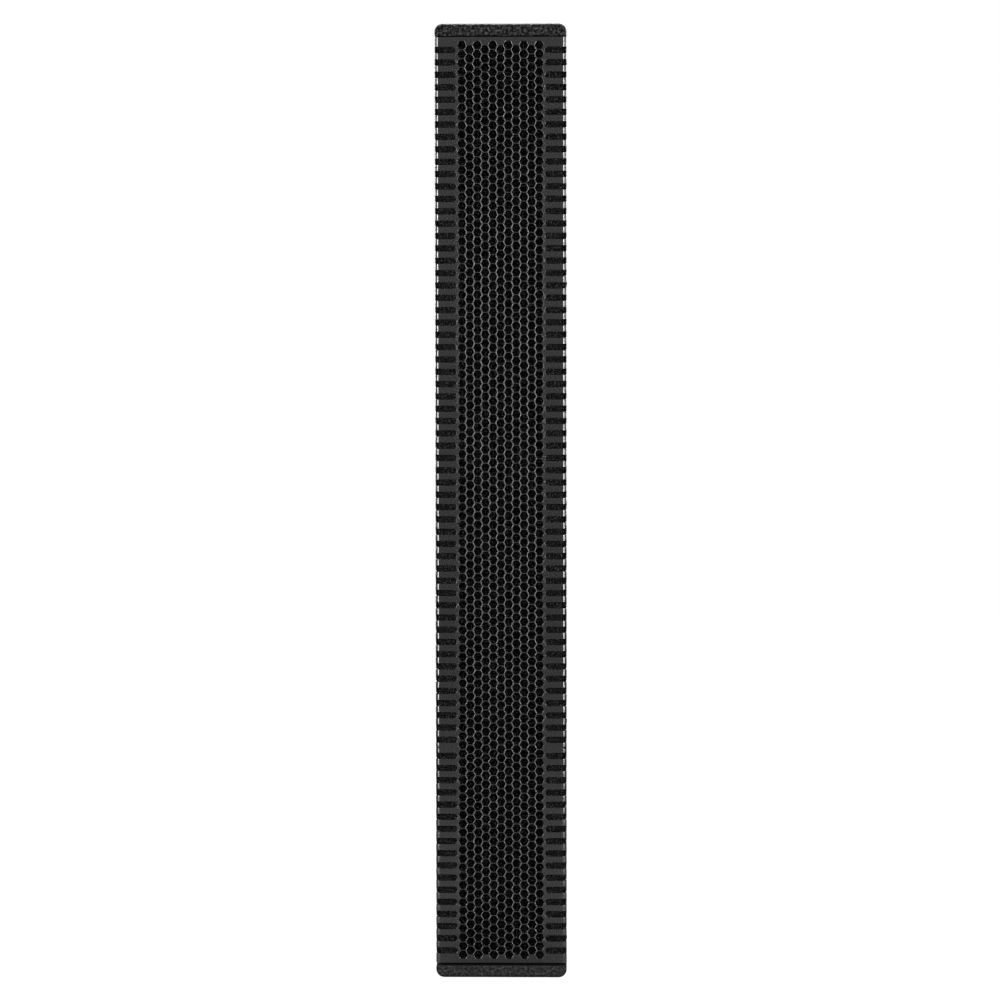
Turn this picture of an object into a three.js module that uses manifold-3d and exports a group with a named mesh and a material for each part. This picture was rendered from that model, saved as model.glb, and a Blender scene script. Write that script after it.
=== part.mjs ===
// Slim column loudspeaker: a plywood cabinet with six 4 inch woofers, two compression
// drivers on a shared line waveguide, and a powered amplifier module in the rear panel.
//
// Units are millimetres. X runs to the right seen from the front, Y runs from the grille
// to the rear, Z is up. The origin is in the plane of the underside, half way across the
// width and half way along the overall depth.

import * as THREE from 'three';
import { mergeVertices } from 'three/addons/utils/BufferGeometryUtils.js';
import Module from 'manifold-3d';

const wasm = await Module();
wasm.setup();

// ---------------------------------------------------------------------------
// Driving dimensions
// ---------------------------------------------------------------------------

const WIDTH = 137.5;
const DEPTH = 170;
const HEIGHT = 1000;
const HALF_WIDTH = WIDTH / 2;
const FRONT_Y = -DEPTH / 2;
const REAR_Y = DEPTH / 2;

// Clearance left between neighbouring pieces, and round a piece let into a seat.
const GAP = 0.3;
const SEAT_CLEARANCE = 0.5;
// How far a cutting shape reaches past the face that it cuts.
const OVERCUT = 5;
// How far joined parts of one casting or moulding run into each other.
const BITE = 0.4;

// Cabinet boards.
const CAP = 13;
const PLY = 12;
const CORNER = 8.5;
const CAP_EDGE = 1.5;
const INNER_X = HALF_WIDTH - PLY;
const BOARD_X = INNER_X - GAP;
const BOARD_BOTTOM = CAP + GAP;
const BOARD_TOP = HEIGHT - CAP - GAP;
const REAR_INNER_Y = REAR_Y - PLY;

// Baffle, foam and grille, from the inside outwards.
const BAFFLE_FRONT_Y = -73;
const BAFFLE_DEPTH = 15;
const BAFFLE_REAR_Y = BAFFLE_FRONT_Y + BAFFLE_DEPTH;
const SEATED_Y = BAFFLE_FRONT_Y + GAP;
const RECESS_DEPTH = 3.5;
const FLANGE_THICK = 2.9;
const FOAM_DEPTH = 9;
const FOAM_HALF_WIDTH = 65.5;
const FOAM_CORNER = 3.2;
const SHEET = 1.2;
const GRILLE_FRONT_Y = FRONT_Y + 1;
const GRILLE_HALF_WIDTH = 68.15;
const GRILLE_REAR_Y = -62;
const GRILLE_FOLD = 4.2;
// How much shorter each leg of a 45 degree fold gets per millimetre of inward offset.
const FOLD_OFFSET = 2 - Math.SQRT2;
const GRILLE_BOTTOM = 15.5;
const GRILLE_TOP = 986.1;

// Ventilation slots that wrap round both grille bends.
const SLOT_PITCH = 12.873;
const SLOT_HEIGHT = 6.5;
const SLOT_INNER_X = 46.7;
const SLOT_REAR_Y = -76;
const TOP_SLOT_Z = 972.55;
const SLOTS_ABOVE_WIDE_RIB = 57;
const SLOTS_BELOW_WIDE_RIB = 17;
const WIDE_RIB_EXTRA = 0.3225;

// Woofers.
const WOOFER_Z = [74, 182, 290, 710, 818, 926];
const FLANGE_R = 50.5;
const CUTOUT_R = 46;
const CONE_R = 40;
const BASKET = {
  shellR: 45.5,
  shellRearY: -58,
  boreR: 41.5,
  boreRearY: -57,
  seatR: 33,
  seatY: -41.5,
  backR: 36,
  backY: -38.3,
  backHoleR: 24,
  windowHalf: 13,
  windowFrontY: -55,
  windowRearY: -43,
};
const MOTOR = {
  radius: 35,
  frontY: -37.7,
  rearY: -12,
  poleR: 11.8,
  poleTipY: -36,
  gapR: 14,
  gapFloorY: -19,
};
const CONE = {
  skin: 1.4,
  rollSkin: 2,
  rollInnerR: 33,
  rollTopR: 36.5,
  rollTopY: -69,
  rollFootY: -66,
  neckR: 13.4,
  neckY: -52,
  neckRearY: -50.2,
  capR: 8,
  capY: -56.5,
  capEdgeY: -55.4,
  capRearY: -54,
  coilInnerR: 12.6,
  coilEndY: -27,
};

// High-frequency section.
const HF_Z = [450, 550];
const HORN_BOTTOM = 355;
const HORN_TOP = 645;
const HORN_HALF_WIDTH = 50;
const HORN_OUTER_X = 30;
const HORN_WALL = 3;
const HORN_REAR_Y = -15;
const MOUTH_X = 27;
const THROAT_X = 5;
const THROAT_Y = -20;
const THROAT_R = 12.7;
const DRIVER = { radius: 32, rearY: 22, chamfer: 4, capR: 24 };
const CHAMBER = { radius: 23.5, frontY: -6, rearY: 7 };
const DOME = { radius: 22, shoulderR: 19, crownR: 12, rimY: 2.2, crownY: -1.6, peakY: -3.4, skin: 0.8 };
const DOME_LEAN = 0.4;

// Braces between the side boards.
const LOWER_BRACE = { z: 348, rearY: 15, window: { halfWidth: 48, front: -46, rear: 6 } };
const UPPER_BRACE = { z: 652, rearY: 72.7, window: { halfWidth: 48, front: -46, rear: 45 } };
const WINDOW_CORNER = 8;

// Amplifier module: a dished steel panel on the rear of the cabinet.
const TRAY = { halfWidth: 48, bottom: 98, top: 412, floorY: 72, wall: 1.7, floor: 2, corner: 2 };
const TRAY_FLANGE = { halfWidth: 58, bottom: 90, top: 420, thick: 2, corner: 5 };
const REAR_FACE_Y = REAR_Y + GAP;
const FLOOR_Y = TRAY.floorY;
const SEAT_Y = FLOOR_Y + GAP;
const AMP_BOX = { halfWidth: 49, bottom: 97, top: 413, frontY: 18, rearY: 69.7, wall: 1.5 };
const GROMMET = { radius: 4, x: 20, y: 32 };
const COLUMN_X = 31;
const MAINS_ROW_Z = 125;
const INPUT_ROW_Z = 175;
const CONTROL_ROW_Z = 220;
const SOCKET_X = [-COLUMN_X, 0, COLUMN_X];
const INPUT_X = [-COLUMN_X, 0];
const BEZEL_THICK = 2;
const SOCKET = {
  halfWidth: 13,
  halfHeight: 15.5,
  corner: 3,
  bodyR: 11.8,
  bodyY: 52,
  boreR: 9.3,
  coreR: 6.6,
  inputDepth: 16,
  linkDepth: 14,
};
const LATCH = { halfWidth: 4, low: 11, high: 15, frontY: 70.6, rearY: 77.6, notchDepth: 4 };
const MAINS = {
  halfWidth: 15,
  halfHeight: 14,
  corner: 2,
  bodyHalfWidth: 13.5,
  bodyHalfHeight: 9.8,
  bodyY: 50,
  openingHalfWidth: 12,
  openingHalfHeight: 8,
  depth: 16,
};
// Blades of the inlet, slits of the outlet, and their positions about the connector's centre.
const CONTACTS = [[-7, -2], [7, -2], [0, 3]];
const BLADE = { halfWidth: 1, halfHeight: 2, length: 12 };
const SLIT = { halfWidth: 1.2, halfHeight: 2.4, depth: 12 };
const SWITCH = {
  halfWidth: 9.5,
  halfHeight: 12.8,
  bodyY: 58,
  bezelHalfWidth: 12.5,
  bezelHalfHeight: 15.5,
  wellHalfHeight: 11.8,
};
const ROCKER = {
  halfWidth: 8,
  reach: 10.5,
  pivotY: 72.6,
  hubR: 5,
  tilt: 10,
  edgeLow: 0.6,
  edgeHigh: 4.6,
  dip: 3,
};
const KNOB = {
  shaftR: 3,
  shaftY: 61,
  skirtR: 8.5,
  skirtY: 73,
  bevelR: 8.2,
  bevelY: 75,
  gripR: 7,
  gripY: 76,
  topR: 6.4,
  topY: 83,
};
const POINTER = { halfWidth: 0.8, length: 6, baseY: 80, topY: 83.6 };
const BUTTON = { radius: 3.6, baseY: 62, shoulderY: 76.5, topR: 2.6, topY: 77.2 };
const HEATSINK = { halfWidth: 44, fins: 13, finThick: 2, base: 4, bottom: 248, top: 404, proud: 0.7 };

// Circuit boards behind the panel.
const BOARD_THICK = 1.6;
const BOARD_HALF_WIDTH = 44;
const POWER_BOARD = { y: 23, bottom: 246, top: 404 };
const TRANSFORMER = { innerR: 6, outerR: 22, tall: 22, x: -18, z: 375 };
const CAPACITOR = { radius: 7, tall: 26, places: [[18, 385], [34, 385], [18, 362], [34, 362]] };
const SPREADER = { halfWidth: 40, bottom: 262, top: 268, tall: 40 };
const CHOKE = { radius: 9, tall: 14, z: 310, xs: [-28, 0, 28] };
const INPUT_BOARD = { y: 42, bottom: 156, top: 236 };
const PROCESSOR = { halfWidth: 9, bottom: 196, top: 214, tall: 2.2 };
const CONVERTER = { halfWidth: 5, bottom: 180, top: 190, tall: 2, xs: [-30, 30] };
const POTENTIOMETER = { halfWidth: 8, rearY: 58 };

// Carrying handle in the rear panel.
const HANDLE_Z = 535;
const HANDLE = {
  halfWidth: 42,
  halfHeight: 55,
  depthY: 40.5,
  wall: 2.5,
  flangeX: 10,
  flangeZ: 12,
  flangeThick: 2,
  corner: 8,
};
const GRIP = { halfWidth: 10, halfDepth: 8.5, y: 73, corner: 8 };

// Rigging and mounting points.
const RIGGING_Z = [53, 947];
const RIGGING = { halfWidth: 45, halfHeight: 18, corner: 5, thick: 2.5, holeX: 30, holeR: 4.3 };
const INSERT = { boreR: 4.3, bodyR: 9, flangeR: 14, flangeThick: 2.5, recess: 0.4 };
const POLE_Y = 12;
const POLE_BORE_R = 18;
const POLE_TUBE_R = 20;
const POLE_DEPTH = 73;
const POLE_BACK_THICK = 3;
const POLE_FLANGE = { radius: 31, thick: 2.7, recess: 0.8 };

// Wiring and damping.
const WOOFER_LOOM = { radius: 2.2, terminalX: 41, terminalY: -24, wallX: 45, wallY: -4, steps: 26 };
const HF_LEAD = {
  radius: 2,
  steps: 14,
  path: [[-20, 32, 409], [-20, 32, 420], [-40, 12, 436], [-40, 4, 500], [-38, 8, 560]],
};
const PAD = { halfWidth: 50, frontY: 50, bottom: 668, top: 975 };

const ROUND = 12;
const FINE_ROUND = 16;

// ---------------------------------------------------------------------------
// Finishes
// ---------------------------------------------------------------------------

function finish(color, roughness, metalness) {
  return new THREE.MeshStandardMaterial({ color, roughness, metalness });
}

const FINISHES = {
  coating: [0x2b2b2c, 0.85, 0],
  plywood: [0xb08a5a, 0.8, 0],
  powderCoat: [0x3b3b3c, 0.55, 0.3],
  foam: [0x0e0e0e, 1, 0],
  panelPaint: [0x1e1e20, 0.6, 0.3],
  zincSteel: [0x9a9da0, 0.45, 0.9],
  castAluminium: [0x3a3b3d, 0.5, 0.7],
  ferrite: [0x303134, 0.7, 0.2],
  paperCone: [0x161616, 0.9, 0],
  titanium: [0xa8a9ac, 0.35, 0.9],
  mouldedPlastic: [0x161617, 0.5, 0],
  rubberGrip: [0x1a1a1a, 0.8, 0],
  circuitBoard: [0x1f4a30, 0.6, 0],
  cableJacket: [0x101010, 0.6, 0],
  fibre: [0x8f8c84, 1, 0],
};

// ---------------------------------------------------------------------------
// Solid-modelling helpers
// ---------------------------------------------------------------------------

const MERGE_DISTANCE = 1e-4;

// Shares the vertices of a geometry and drops the slivers left on a lathe's axis.
function shareVertices(geometry) {
  const bare = geometry.clone();
  bare.deleteAttribute('normal');
  bare.deleteAttribute('uv');
  const merged = mergeVertices(bare, MERGE_DISTANCE);
  const index = merged.index.array;
  const kept = [];
  for (let i = 0; i < index.length; i += 3) {
    const [a, b, c] = [index[i], index[i + 1], index[i + 2]];
    if (a !== b && b !== c && c !== a) {
      kept.push(a, b, c);
    }
  }
  merged.setIndex(kept);
  return merged;
}

function toSolid(geometry) {
  const shared = shareVertices(geometry);
  const mesh = new wasm.Mesh({
    numProp: 3,
    vertProperties: shared.attributes.position.array,
    triVerts: Uint32Array.from(shared.index.array),
  });
  return new wasm.Manifold(mesh);
}

function toGeometry(solid) {
  const mesh = solid.getMesh();
  const geometry = new THREE.BufferGeometry();
  geometry.setAttribute('position', new THREE.BufferAttribute(mesh.vertProperties, 3));
  geometry.setIndex(new THREE.BufferAttribute(mesh.triVerts, 1));
  geometry.computeVertexNormals();
  return geometry;
}

function join(...geometries) {
  return toGeometry(geometries.map(toSolid).reduce((whole, piece) => whole.add(piece)));
}

function cut(body, ...tools) {
  return toGeometry(tools.map(toSolid).reduce((left, tool) => left.subtract(tool), toSolid(body)));
}

// A box given by its lowest and highest corners.
function block([x0, y0, z0], [x1, y1, z1]) {
  const geometry = new THREE.BoxGeometry(x1 - x0, y1 - y0, z1 - z0);
  return geometry.translate((x0 + x1) / 2, (y0 + y1) / 2, (z0 + z1) / 2);
}

// A plate whose outline is drawn in X and Z, filling y0 to y1.
function plateXZ(outline, y0, y1, curveSegments = 2) {
  const geometry = new THREE.ExtrudeGeometry(outline, {
    depth: y1 - y0,
    bevelEnabled: false,
    curveSegments,
  });
  return geometry.rotateX(Math.PI / 2).translate(0, y1, 0);
}

// A prism whose outline is drawn in X and Y, filling z0 to z1.
function prismXY(outline, z0, z1, curveSegments = 2) {
  const geometry = new THREE.ExtrudeGeometry(outline, {
    depth: z1 - z0,
    bevelEnabled: false,
    curveSegments,
  });
  return geometry.translate(0, 0, z0);
}

function polygon(points) {
  return new THREE.Shape(points.map(([x, y]) => new THREE.Vector2(x, y)));
}

// A rectangle with round corners, centred on (cx, cy).
function roundedRectangle(cx, cy, halfWidth, halfHeight, radius) {
  const outline = new THREE.Shape();
  const right = halfWidth - radius;
  const top = halfHeight - radius;
  outline.absarc(cx + right, cy + top, radius, 0, Math.PI / 2, false);
  outline.absarc(cx - right, cy + top, radius, Math.PI / 2, Math.PI, false);
  outline.absarc(cx - right, cy - top, radius, Math.PI, 1.5 * Math.PI, false);
  outline.absarc(cx + right, cy - top, radius, 1.5 * Math.PI, 2 * Math.PI, false);
  return outline;
}

// A turned piece about a line along Y through (x, z). The profile is [radius, y] pairs.
function turnedY(profile, x, z, segments = ROUND) {
  const points = profile.map(([radius, y]) => new THREE.Vector2(radius, y));
  return new THREE.LatheGeometry(points, segments).translate(x, 0, z);
}

// A turned piece about a line along Z through (x, y). The profile is [radius, z] pairs.
function turnedZ(profile, x, y, segments = ROUND) {
  const points = profile.map(([radius, z]) => new THREE.Vector2(radius, z));
  return new THREE.LatheGeometry(points, segments).rotateX(Math.PI / 2).translate(x, y, 0);
}

function rodY(radius, y0, y1, x, z, segments = ROUND) {
  return turnedY([[0, y0], [radius, y0], [radius, y1], [0, y1]], x, z, segments);
}

function rodZ(radius, z0, z1, x, y, segments = ROUND) {
  return turnedZ([[0, z0], [radius, z0], [radius, z1], [0, z1]], x, y, segments);
}

// A round cable through the given points.
function cable(points, radius, steps) {
  const path = new THREE.CatmullRomCurve3(points.map((point) => new THREE.Vector3(...point)));
  const section = new THREE.Shape().absarc(0, 0, radius, 0, 2 * Math.PI, false);
  return new THREE.ExtrudeGeometry(section, { steps, extrudePath: path, curveSegments: 3 });
}

// The group is moved so that the origin halves the overall depth, rigging plates included.
const column = new THREE.Group();
column.name = 'column_loudspeaker';
column.position.y = -(GAP + RIGGING.thick) / 2;

function add(name, geometry, finishName) {
  const mesh = new THREE.Mesh(geometry, finish(...FINISHES[finishName]));
  mesh.name = name;
  column.add(mesh);
  return mesh;
}

// ---------------------------------------------------------------------------
// Cabinet
// ---------------------------------------------------------------------------

// End board across the full width, with its two outer corners rounded.
function capBoard(zInner, zOuter) {
  const up = Math.sign(zOuter - zInner);
  const arcX = HALF_WIDTH - CORNER;
  const arcZ = zOuter - up * CORNER;
  const outline = new THREE.Shape();
  outline.moveTo(-HALF_WIDTH, zInner);
  outline.lineTo(HALF_WIDTH, zInner);
  outline.absarc(arcX, arcZ, CORNER, 0, up * Math.PI / 2, up < 0);
  outline.absarc(-arcX, arcZ, CORNER, up * Math.PI / 2, up * Math.PI, up < 0);
  const geometry = new THREE.ExtrudeGeometry(outline, {
    depth: DEPTH - 2 * CAP_EDGE,
    bevelThickness: CAP_EDGE,
    bevelSize: CAP_EDGE,
    bevelOffset: -CAP_EDGE,
    bevelSegments: 1,
    curveSegments: 3,
  });
  return geometry.rotateX(Math.PI / 2).translate(0, REAR_Y - CAP_EDGE, 0);
}

function topPanel() {
  const insertHole = rodZ(INSERT.bodyR + GAP, HEIGHT - 2 * CAP, HEIGHT + CAP, 0, 0);
  return cut(capBoard(HEIGHT - CAP, HEIGHT), insertHole);
}

function bottomPanel() {
  const rebateTop = POLE_FLANGE.recess + POLE_FLANGE.thick + GAP;
  const tubeHole = rodZ(POLE_TUBE_R + GAP, -CAP, 2 * CAP, 0, POLE_Y, FINE_ROUND);
  const rebate = rodZ(POLE_FLANGE.radius + GAP, -CAP, rebateTop, 0, POLE_Y, FINE_ROUND);
  return cut(capBoard(CAP, 0), tubeHole, rebate);
}

// Side board seen from above: rebated at the front for the grille return, round at the rear.
function sidePanel(side) {
  const rebateX = GRILLE_HALF_WIDTH - SHEET - GAP;
  const rebateY = GRILLE_REAR_Y + SEAT_CLEARANCE;
  const outline = polygon([
    [side * INNER_X, REAR_Y],
    [side * INNER_X, BAFFLE_FRONT_Y],
    [side * rebateX, BAFFLE_FRONT_Y],
    [side * rebateX, rebateY],
    [side * HALF_WIDTH, rebateY],
  ]);
  const start = side > 0 ? 0 : Math.PI;
  const arcX = side * (HALF_WIDTH - CORNER);
  outline.absarc(arcX, REAR_Y - CORNER, CORNER, start, Math.PI / 2, side < 0);
  return prismXY(outline, BOARD_BOTTOM, BOARD_TOP, 3);
}

function rearPanel() {
  const outline = roundedRectangle(0, HEIGHT / 2, BOARD_X, (BOARD_TOP - BOARD_BOTTOM) / 2, GAP);
  const trayHalf = TRAY.halfWidth + TRAY.wall + GAP;
  const trayBottom = TRAY.bottom - TRAY.wall - GAP;
  const trayTop = TRAY.top + TRAY.wall + GAP;
  const trayCentre = (trayBottom + trayTop) / 2;
  outline.holes.push(roundedRectangle(0, trayCentre, trayHalf, (trayTop - trayBottom) / 2, TRAY.corner));
  const cupHalf = HANDLE.halfWidth + HANDLE.wall + GAP;
  const cupTall = HANDLE.halfHeight + HANDLE.wall + GAP;
  outline.holes.push(roundedRectangle(0, HANDLE_Z, cupHalf, cupTall, HANDLE.corner + 2));
  return plateXZ(outline, REAR_INNER_Y, REAR_Y);
}

// Baffle with a cut-out and a shallow seat for each woofer and for the waveguide.
function frontBaffle() {
  const outline = polygon([
    [-BOARD_X, BOARD_BOTTOM],
    [BOARD_X, BOARD_BOTTOM],
    [BOARD_X, BOARD_TOP],
    [-BOARD_X, BOARD_TOP],
  ]);
  for (const z of WOOFER_Z) {
    const hole = new THREE.Path();
    hole.absarc(0, z, CUTOUT_R, 0, 2 * Math.PI, true);
    outline.holes.push(hole);
  }
  const hornMid = (HORN_BOTTOM + HORN_TOP) / 2;
  const hornTall = (HORN_TOP - HORN_BOTTOM) / 2;
  const hornHole = roundedRectangle(0, hornMid, HORN_OUTER_X + 1, hornTall - HORN_WALL + 1, 2);
  outline.holes.push(hornHole);
  const board = plateXZ(outline, BAFFLE_FRONT_Y, BAFFLE_REAR_Y, ROUND / 2);
  const seatY = BAFFLE_FRONT_Y + RECESS_DEPTH;
  const seatR = FLANGE_R + SEAT_CLEARANCE;
  const seats = WOOFER_Z.map((z) => rodY(seatR, BAFFLE_FRONT_Y - OVERCUT, seatY, 0, z));
  const hornSeat = plateXZ(
    roundedRectangle(0, hornMid, HORN_HALF_WIDTH + SEAT_CLEARANCE, hornTall + SEAT_CLEARANCE, 4),
    BAFFLE_FRONT_Y - OVERCUT,
    seatY,
  );
  return cut(board, ...seats, hornSeat);
}

// Horizontal brace between the side boards, with a window for cables and air.
function brace({ z, rearY, window }) {
  const frontY = BAFFLE_REAR_Y + GAP;
  const outline = polygon([[-BOARD_X, frontY], [BOARD_X, frontY], [BOARD_X, rearY], [-BOARD_X, rearY]]);
  const middle = (window.front + window.rear) / 2;
  const halfDepth = (window.rear - window.front) / 2;
  outline.holes.push(roundedRectangle(0, middle, window.halfWidth, halfDepth, WINDOW_CORNER));
  return prismXY(outline, z - PLY / 2, z + PLY / 2);
}

function buildCabinet() {
  add('top_panel', topPanel(), 'coating');
  add('bottom_panel', bottomPanel(), 'coating');
  add('left_side_panel', sidePanel(-1), 'coating');
  add('right_side_panel', sidePanel(1), 'coating');
  add('rear_panel', rearPanel(), 'coating');
  add('front_baffle', frontBaffle(), 'plywood');
  add('lower_brace', brace(LOWER_BRACE), 'plywood');
  add('upper_brace', brace(UPPER_BRACE), 'plywood');
}

// ---------------------------------------------------------------------------
// Grille and foam
// ---------------------------------------------------------------------------

// Centres of the slots, from the top down, with one wider rib near the lower end.
function slotCentres() {
  const centres = [];
  const count = SLOTS_ABOVE_WIDE_RIB + SLOTS_BELOW_WIDE_RIB;
  for (let i = 0; i < count; i += 1) {
    const extra = i < SLOTS_ABOVE_WIDE_RIB ? 0 : WIDE_RIB_EXTRA;
    centres.push(TOP_SLOT_Z - (i + extra) * SLOT_PITCH);
  }
  return centres;
}

// Channel-shaped sheet seen from above: a flat front and two returns joined by 45 degree folds.
function grilleChannel() {
  const face = (offset) => {
    const x = GRILLE_HALF_WIDTH - offset;
    const y = GRILLE_FRONT_Y + offset;
    const foldX = x - GRILLE_FOLD + offset * FOLD_OFFSET;
    const foldY = y + GRILLE_FOLD - offset * FOLD_OFFSET;
    return [[-x, GRILLE_REAR_Y], [-x, foldY], [-foldX, y], [foldX, y], [x, foldY], [x, GRILLE_REAR_Y]];
  };
  return prismXY(polygon([...face(0), ...face(SHEET).reverse()]), GRILLE_BOTTOM, GRILLE_TOP);
}

function frontGrille() {
  const slots = [];
  for (const z of slotCentres()) {
    for (const side of [-1, 1]) {
      const xs = [side * SLOT_INNER_X, side * (HALF_WIDTH + 1)].sort((a, b) => a - b);
      slots.push(block(
        [xs[0], FRONT_Y, z - SLOT_HEIGHT / 2],
        [xs[1], SLOT_REAR_Y, z + SLOT_HEIGHT / 2],
      ));
    }
  }
  return cut(grilleChannel(), ...slots);
}

function buildFront() {
  add('front_grille', frontGrille(), 'powderCoat');
  const foamMiddle = BAFFLE_FRONT_Y - GAP - FOAM_DEPTH / 2;
  const section = roundedRectangle(0, foamMiddle, FOAM_HALF_WIDTH, FOAM_DEPTH / 2, FOAM_CORNER);
  add('grille_foam', prismXY(section, GRILLE_BOTTOM, GRILLE_TOP, 1), 'foam');
}

// ---------------------------------------------------------------------------
// Woofers
// ---------------------------------------------------------------------------

// Cast frame: a flange, a shell with four windows and a seat for the motor.
function wooferBasket(z) {
  const flangeRear = SEATED_Y + FLANGE_THICK;
  const frame = turnedY([
    [FLANGE_R, SEATED_Y],
    [FLANGE_R, flangeRear],
    [BASKET.shellR, flangeRear],
    [BASKET.shellR, BASKET.shellRearY],
    [BASKET.backR, BASKET.backY],
    [BASKET.backHoleR, BASKET.backY],
    [BASKET.backHoleR, BASKET.seatY],
    [BASKET.seatR, BASKET.seatY],
    [BASKET.boreR, BASKET.boreRearY],
    [BASKET.boreR, SEATED_Y],
    [FLANGE_R, SEATED_Y],
  ], 0, z);
  const { windowHalf, windowFrontY, windowRearY } = BASKET;
  const across = block(
    [-CUTOUT_R, windowFrontY, z - windowHalf],
    [CUTOUT_R, windowRearY, z + windowHalf],
  );
  const upright = block(
    [-windowHalf, windowFrontY, z - CUTOUT_R],
    [windowHalf, windowRearY, z + CUTOUT_R],
  );
  return cut(frame, across, upright);
}

// Magnet, plates and pole piece, with the annular gap that the voice coil runs in.
function wooferMotor(z) {
  return turnedY([
    [0, MOTOR.poleTipY],
    [MOTOR.poleR, MOTOR.poleTipY],
    [MOTOR.poleR, MOTOR.gapFloorY],
    [MOTOR.gapR, MOTOR.gapFloorY],
    [MOTOR.gapR, MOTOR.frontY],
    [MOTOR.radius, MOTOR.frontY],
    [MOTOR.radius, MOTOR.rearY],
    [0, MOTOR.rearY],
  ], 0, z);
}

// Moving assembly: surround roll, paper cone, dust cap and voice-coil former.
function wooferCone(z) {
  return turnedY([
    [0, CONE.capY],
    [CONE.capR, CONE.capEdgeY],
    [CONE.neckR, CONE.neckY],
    [CONE.rollInnerR, CONE.rollFootY],
    [CONE.rollTopR, CONE.rollTopY],
    [CONE_R, CONE.rollFootY],
    [CONE_R, CONE.rollFootY + CONE.skin],
    [CONE.rollTopR, CONE.rollTopY + CONE.rollSkin],
    [CONE.rollInnerR + BITE, CONE.rollFootY + CONE.rollSkin],
    [CONE.neckR, CONE.neckRearY],
    [CONE.neckR, CONE.coilEndY],
    [CONE.coilInnerR, CONE.coilEndY],
    [CONE.coilInnerR, CONE.neckRearY],
    [0, CONE.capRearY],
  ], 0, z);
}

function buildWoofers() {
  WOOFER_Z.forEach((z, i) => {
    const name = `woofer_${i + 1}`;
    add(`${name}_basket`, wooferBasket(z), 'castAluminium');
    add(`${name}_motor`, wooferMotor(z), 'ferrite');
    add(`${name}_cone`, wooferCone(z), 'paperCone');
  });
}

// ---------------------------------------------------------------------------
// High-frequency section
// ---------------------------------------------------------------------------

// Trough-shaped waveguide: straight end walls, flared side walls and two round throats.
function hfWaveguide() {
  const flangeRear = SEATED_Y + FLANGE_THICK;
  const middle = (HORN_BOTTOM + HORN_TOP) / 2;
  const tall = (HORN_TOP - HORN_BOTTOM) / 2;
  const flange = plateXZ(roundedRectangle(0, middle, HORN_HALF_WIDTH, tall, 4), SEATED_Y, flangeRear);
  const shell = prismXY(polygon([
    [-HORN_OUTER_X, flangeRear - 1],
    [HORN_OUTER_X, flangeRear - 1],
    [THROAT_R + HORN_WALL, HORN_REAR_Y],
    [-THROAT_R - HORN_WALL, HORN_REAR_Y],
  ]), HORN_BOTTOM + HORN_WALL, HORN_TOP - HORN_WALL);
  const flare = prismXY(polygon([
    [-MOUTH_X - 1, SEATED_Y - 1],
    [MOUTH_X + 1, SEATED_Y - 1],
    [THROAT_X, THROAT_Y],
    [-THROAT_X, THROAT_Y],
  ]), HORN_BOTTOM + 2 * HORN_WALL, HORN_TOP - 2 * HORN_WALL);
  const throats = HF_Z.map((z) => rodY(THROAT_R, THROAT_Y - 8, HORN_REAR_Y + OVERCUT, 0, z));
  return cut(join(flange, shell), flare, ...throats);
}

// Compression driver: a closed pot with a chamber for the diaphragm.
function hfDriver(z) {
  const frontY = HORN_REAR_Y + GAP;
  return turnedY([
    [0, CHAMBER.rearY],
    [CHAMBER.radius, CHAMBER.rearY],
    [CHAMBER.radius, CHAMBER.frontY],
    [THROAT_R, CHAMBER.frontY],
    [THROAT_R, frontY],
    [DRIVER.radius, frontY],
    [DRIVER.radius, DRIVER.rearY - DRIVER.chamfer],
    [DRIVER.capR, DRIVER.rearY],
    [0, DRIVER.rearY],
  ], 0, z, FINE_ROUND);
}

// Thin dome with a flat rim.
function hfDiaphragm(z) {
  return turnedY([
    [0, DOME.peakY],
    [DOME.crownR, DOME.crownY],
    [DOME.shoulderR, DOME.rimY],
    [DOME.radius, DOME.rimY],
    [DOME.radius, DOME.rimY + DOME.skin],
    [DOME.shoulderR - DOME_LEAN, DOME.rimY + DOME.skin],
    [DOME.crownR - DOME_LEAN, DOME.crownY + DOME.skin],
    [0, DOME.peakY + DOME.skin],
  ], 0, z);
}

function buildHighFrequencySection() {
  add('hf_waveguide', hfWaveguide(), 'mouldedPlastic');
  ['lower', 'upper'].forEach((place, i) => {
    add(`hf_driver_${place}`, hfDriver(HF_Z[i]), 'ferrite');
    add(`hf_diaphragm_${place}`, hfDiaphragm(HF_Z[i]), 'titanium');
  });
}

// ---------------------------------------------------------------------------
// Amplifier module
// ---------------------------------------------------------------------------

function latchNotch(x, z, y0, y1) {
  return block(
    [x - LATCH.halfWidth - GAP, y0, z + LATCH.low - GAP],
    [x + LATCH.halfWidth + GAP, y1, z + LATCH.high + GAP],
  );
}

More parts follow.
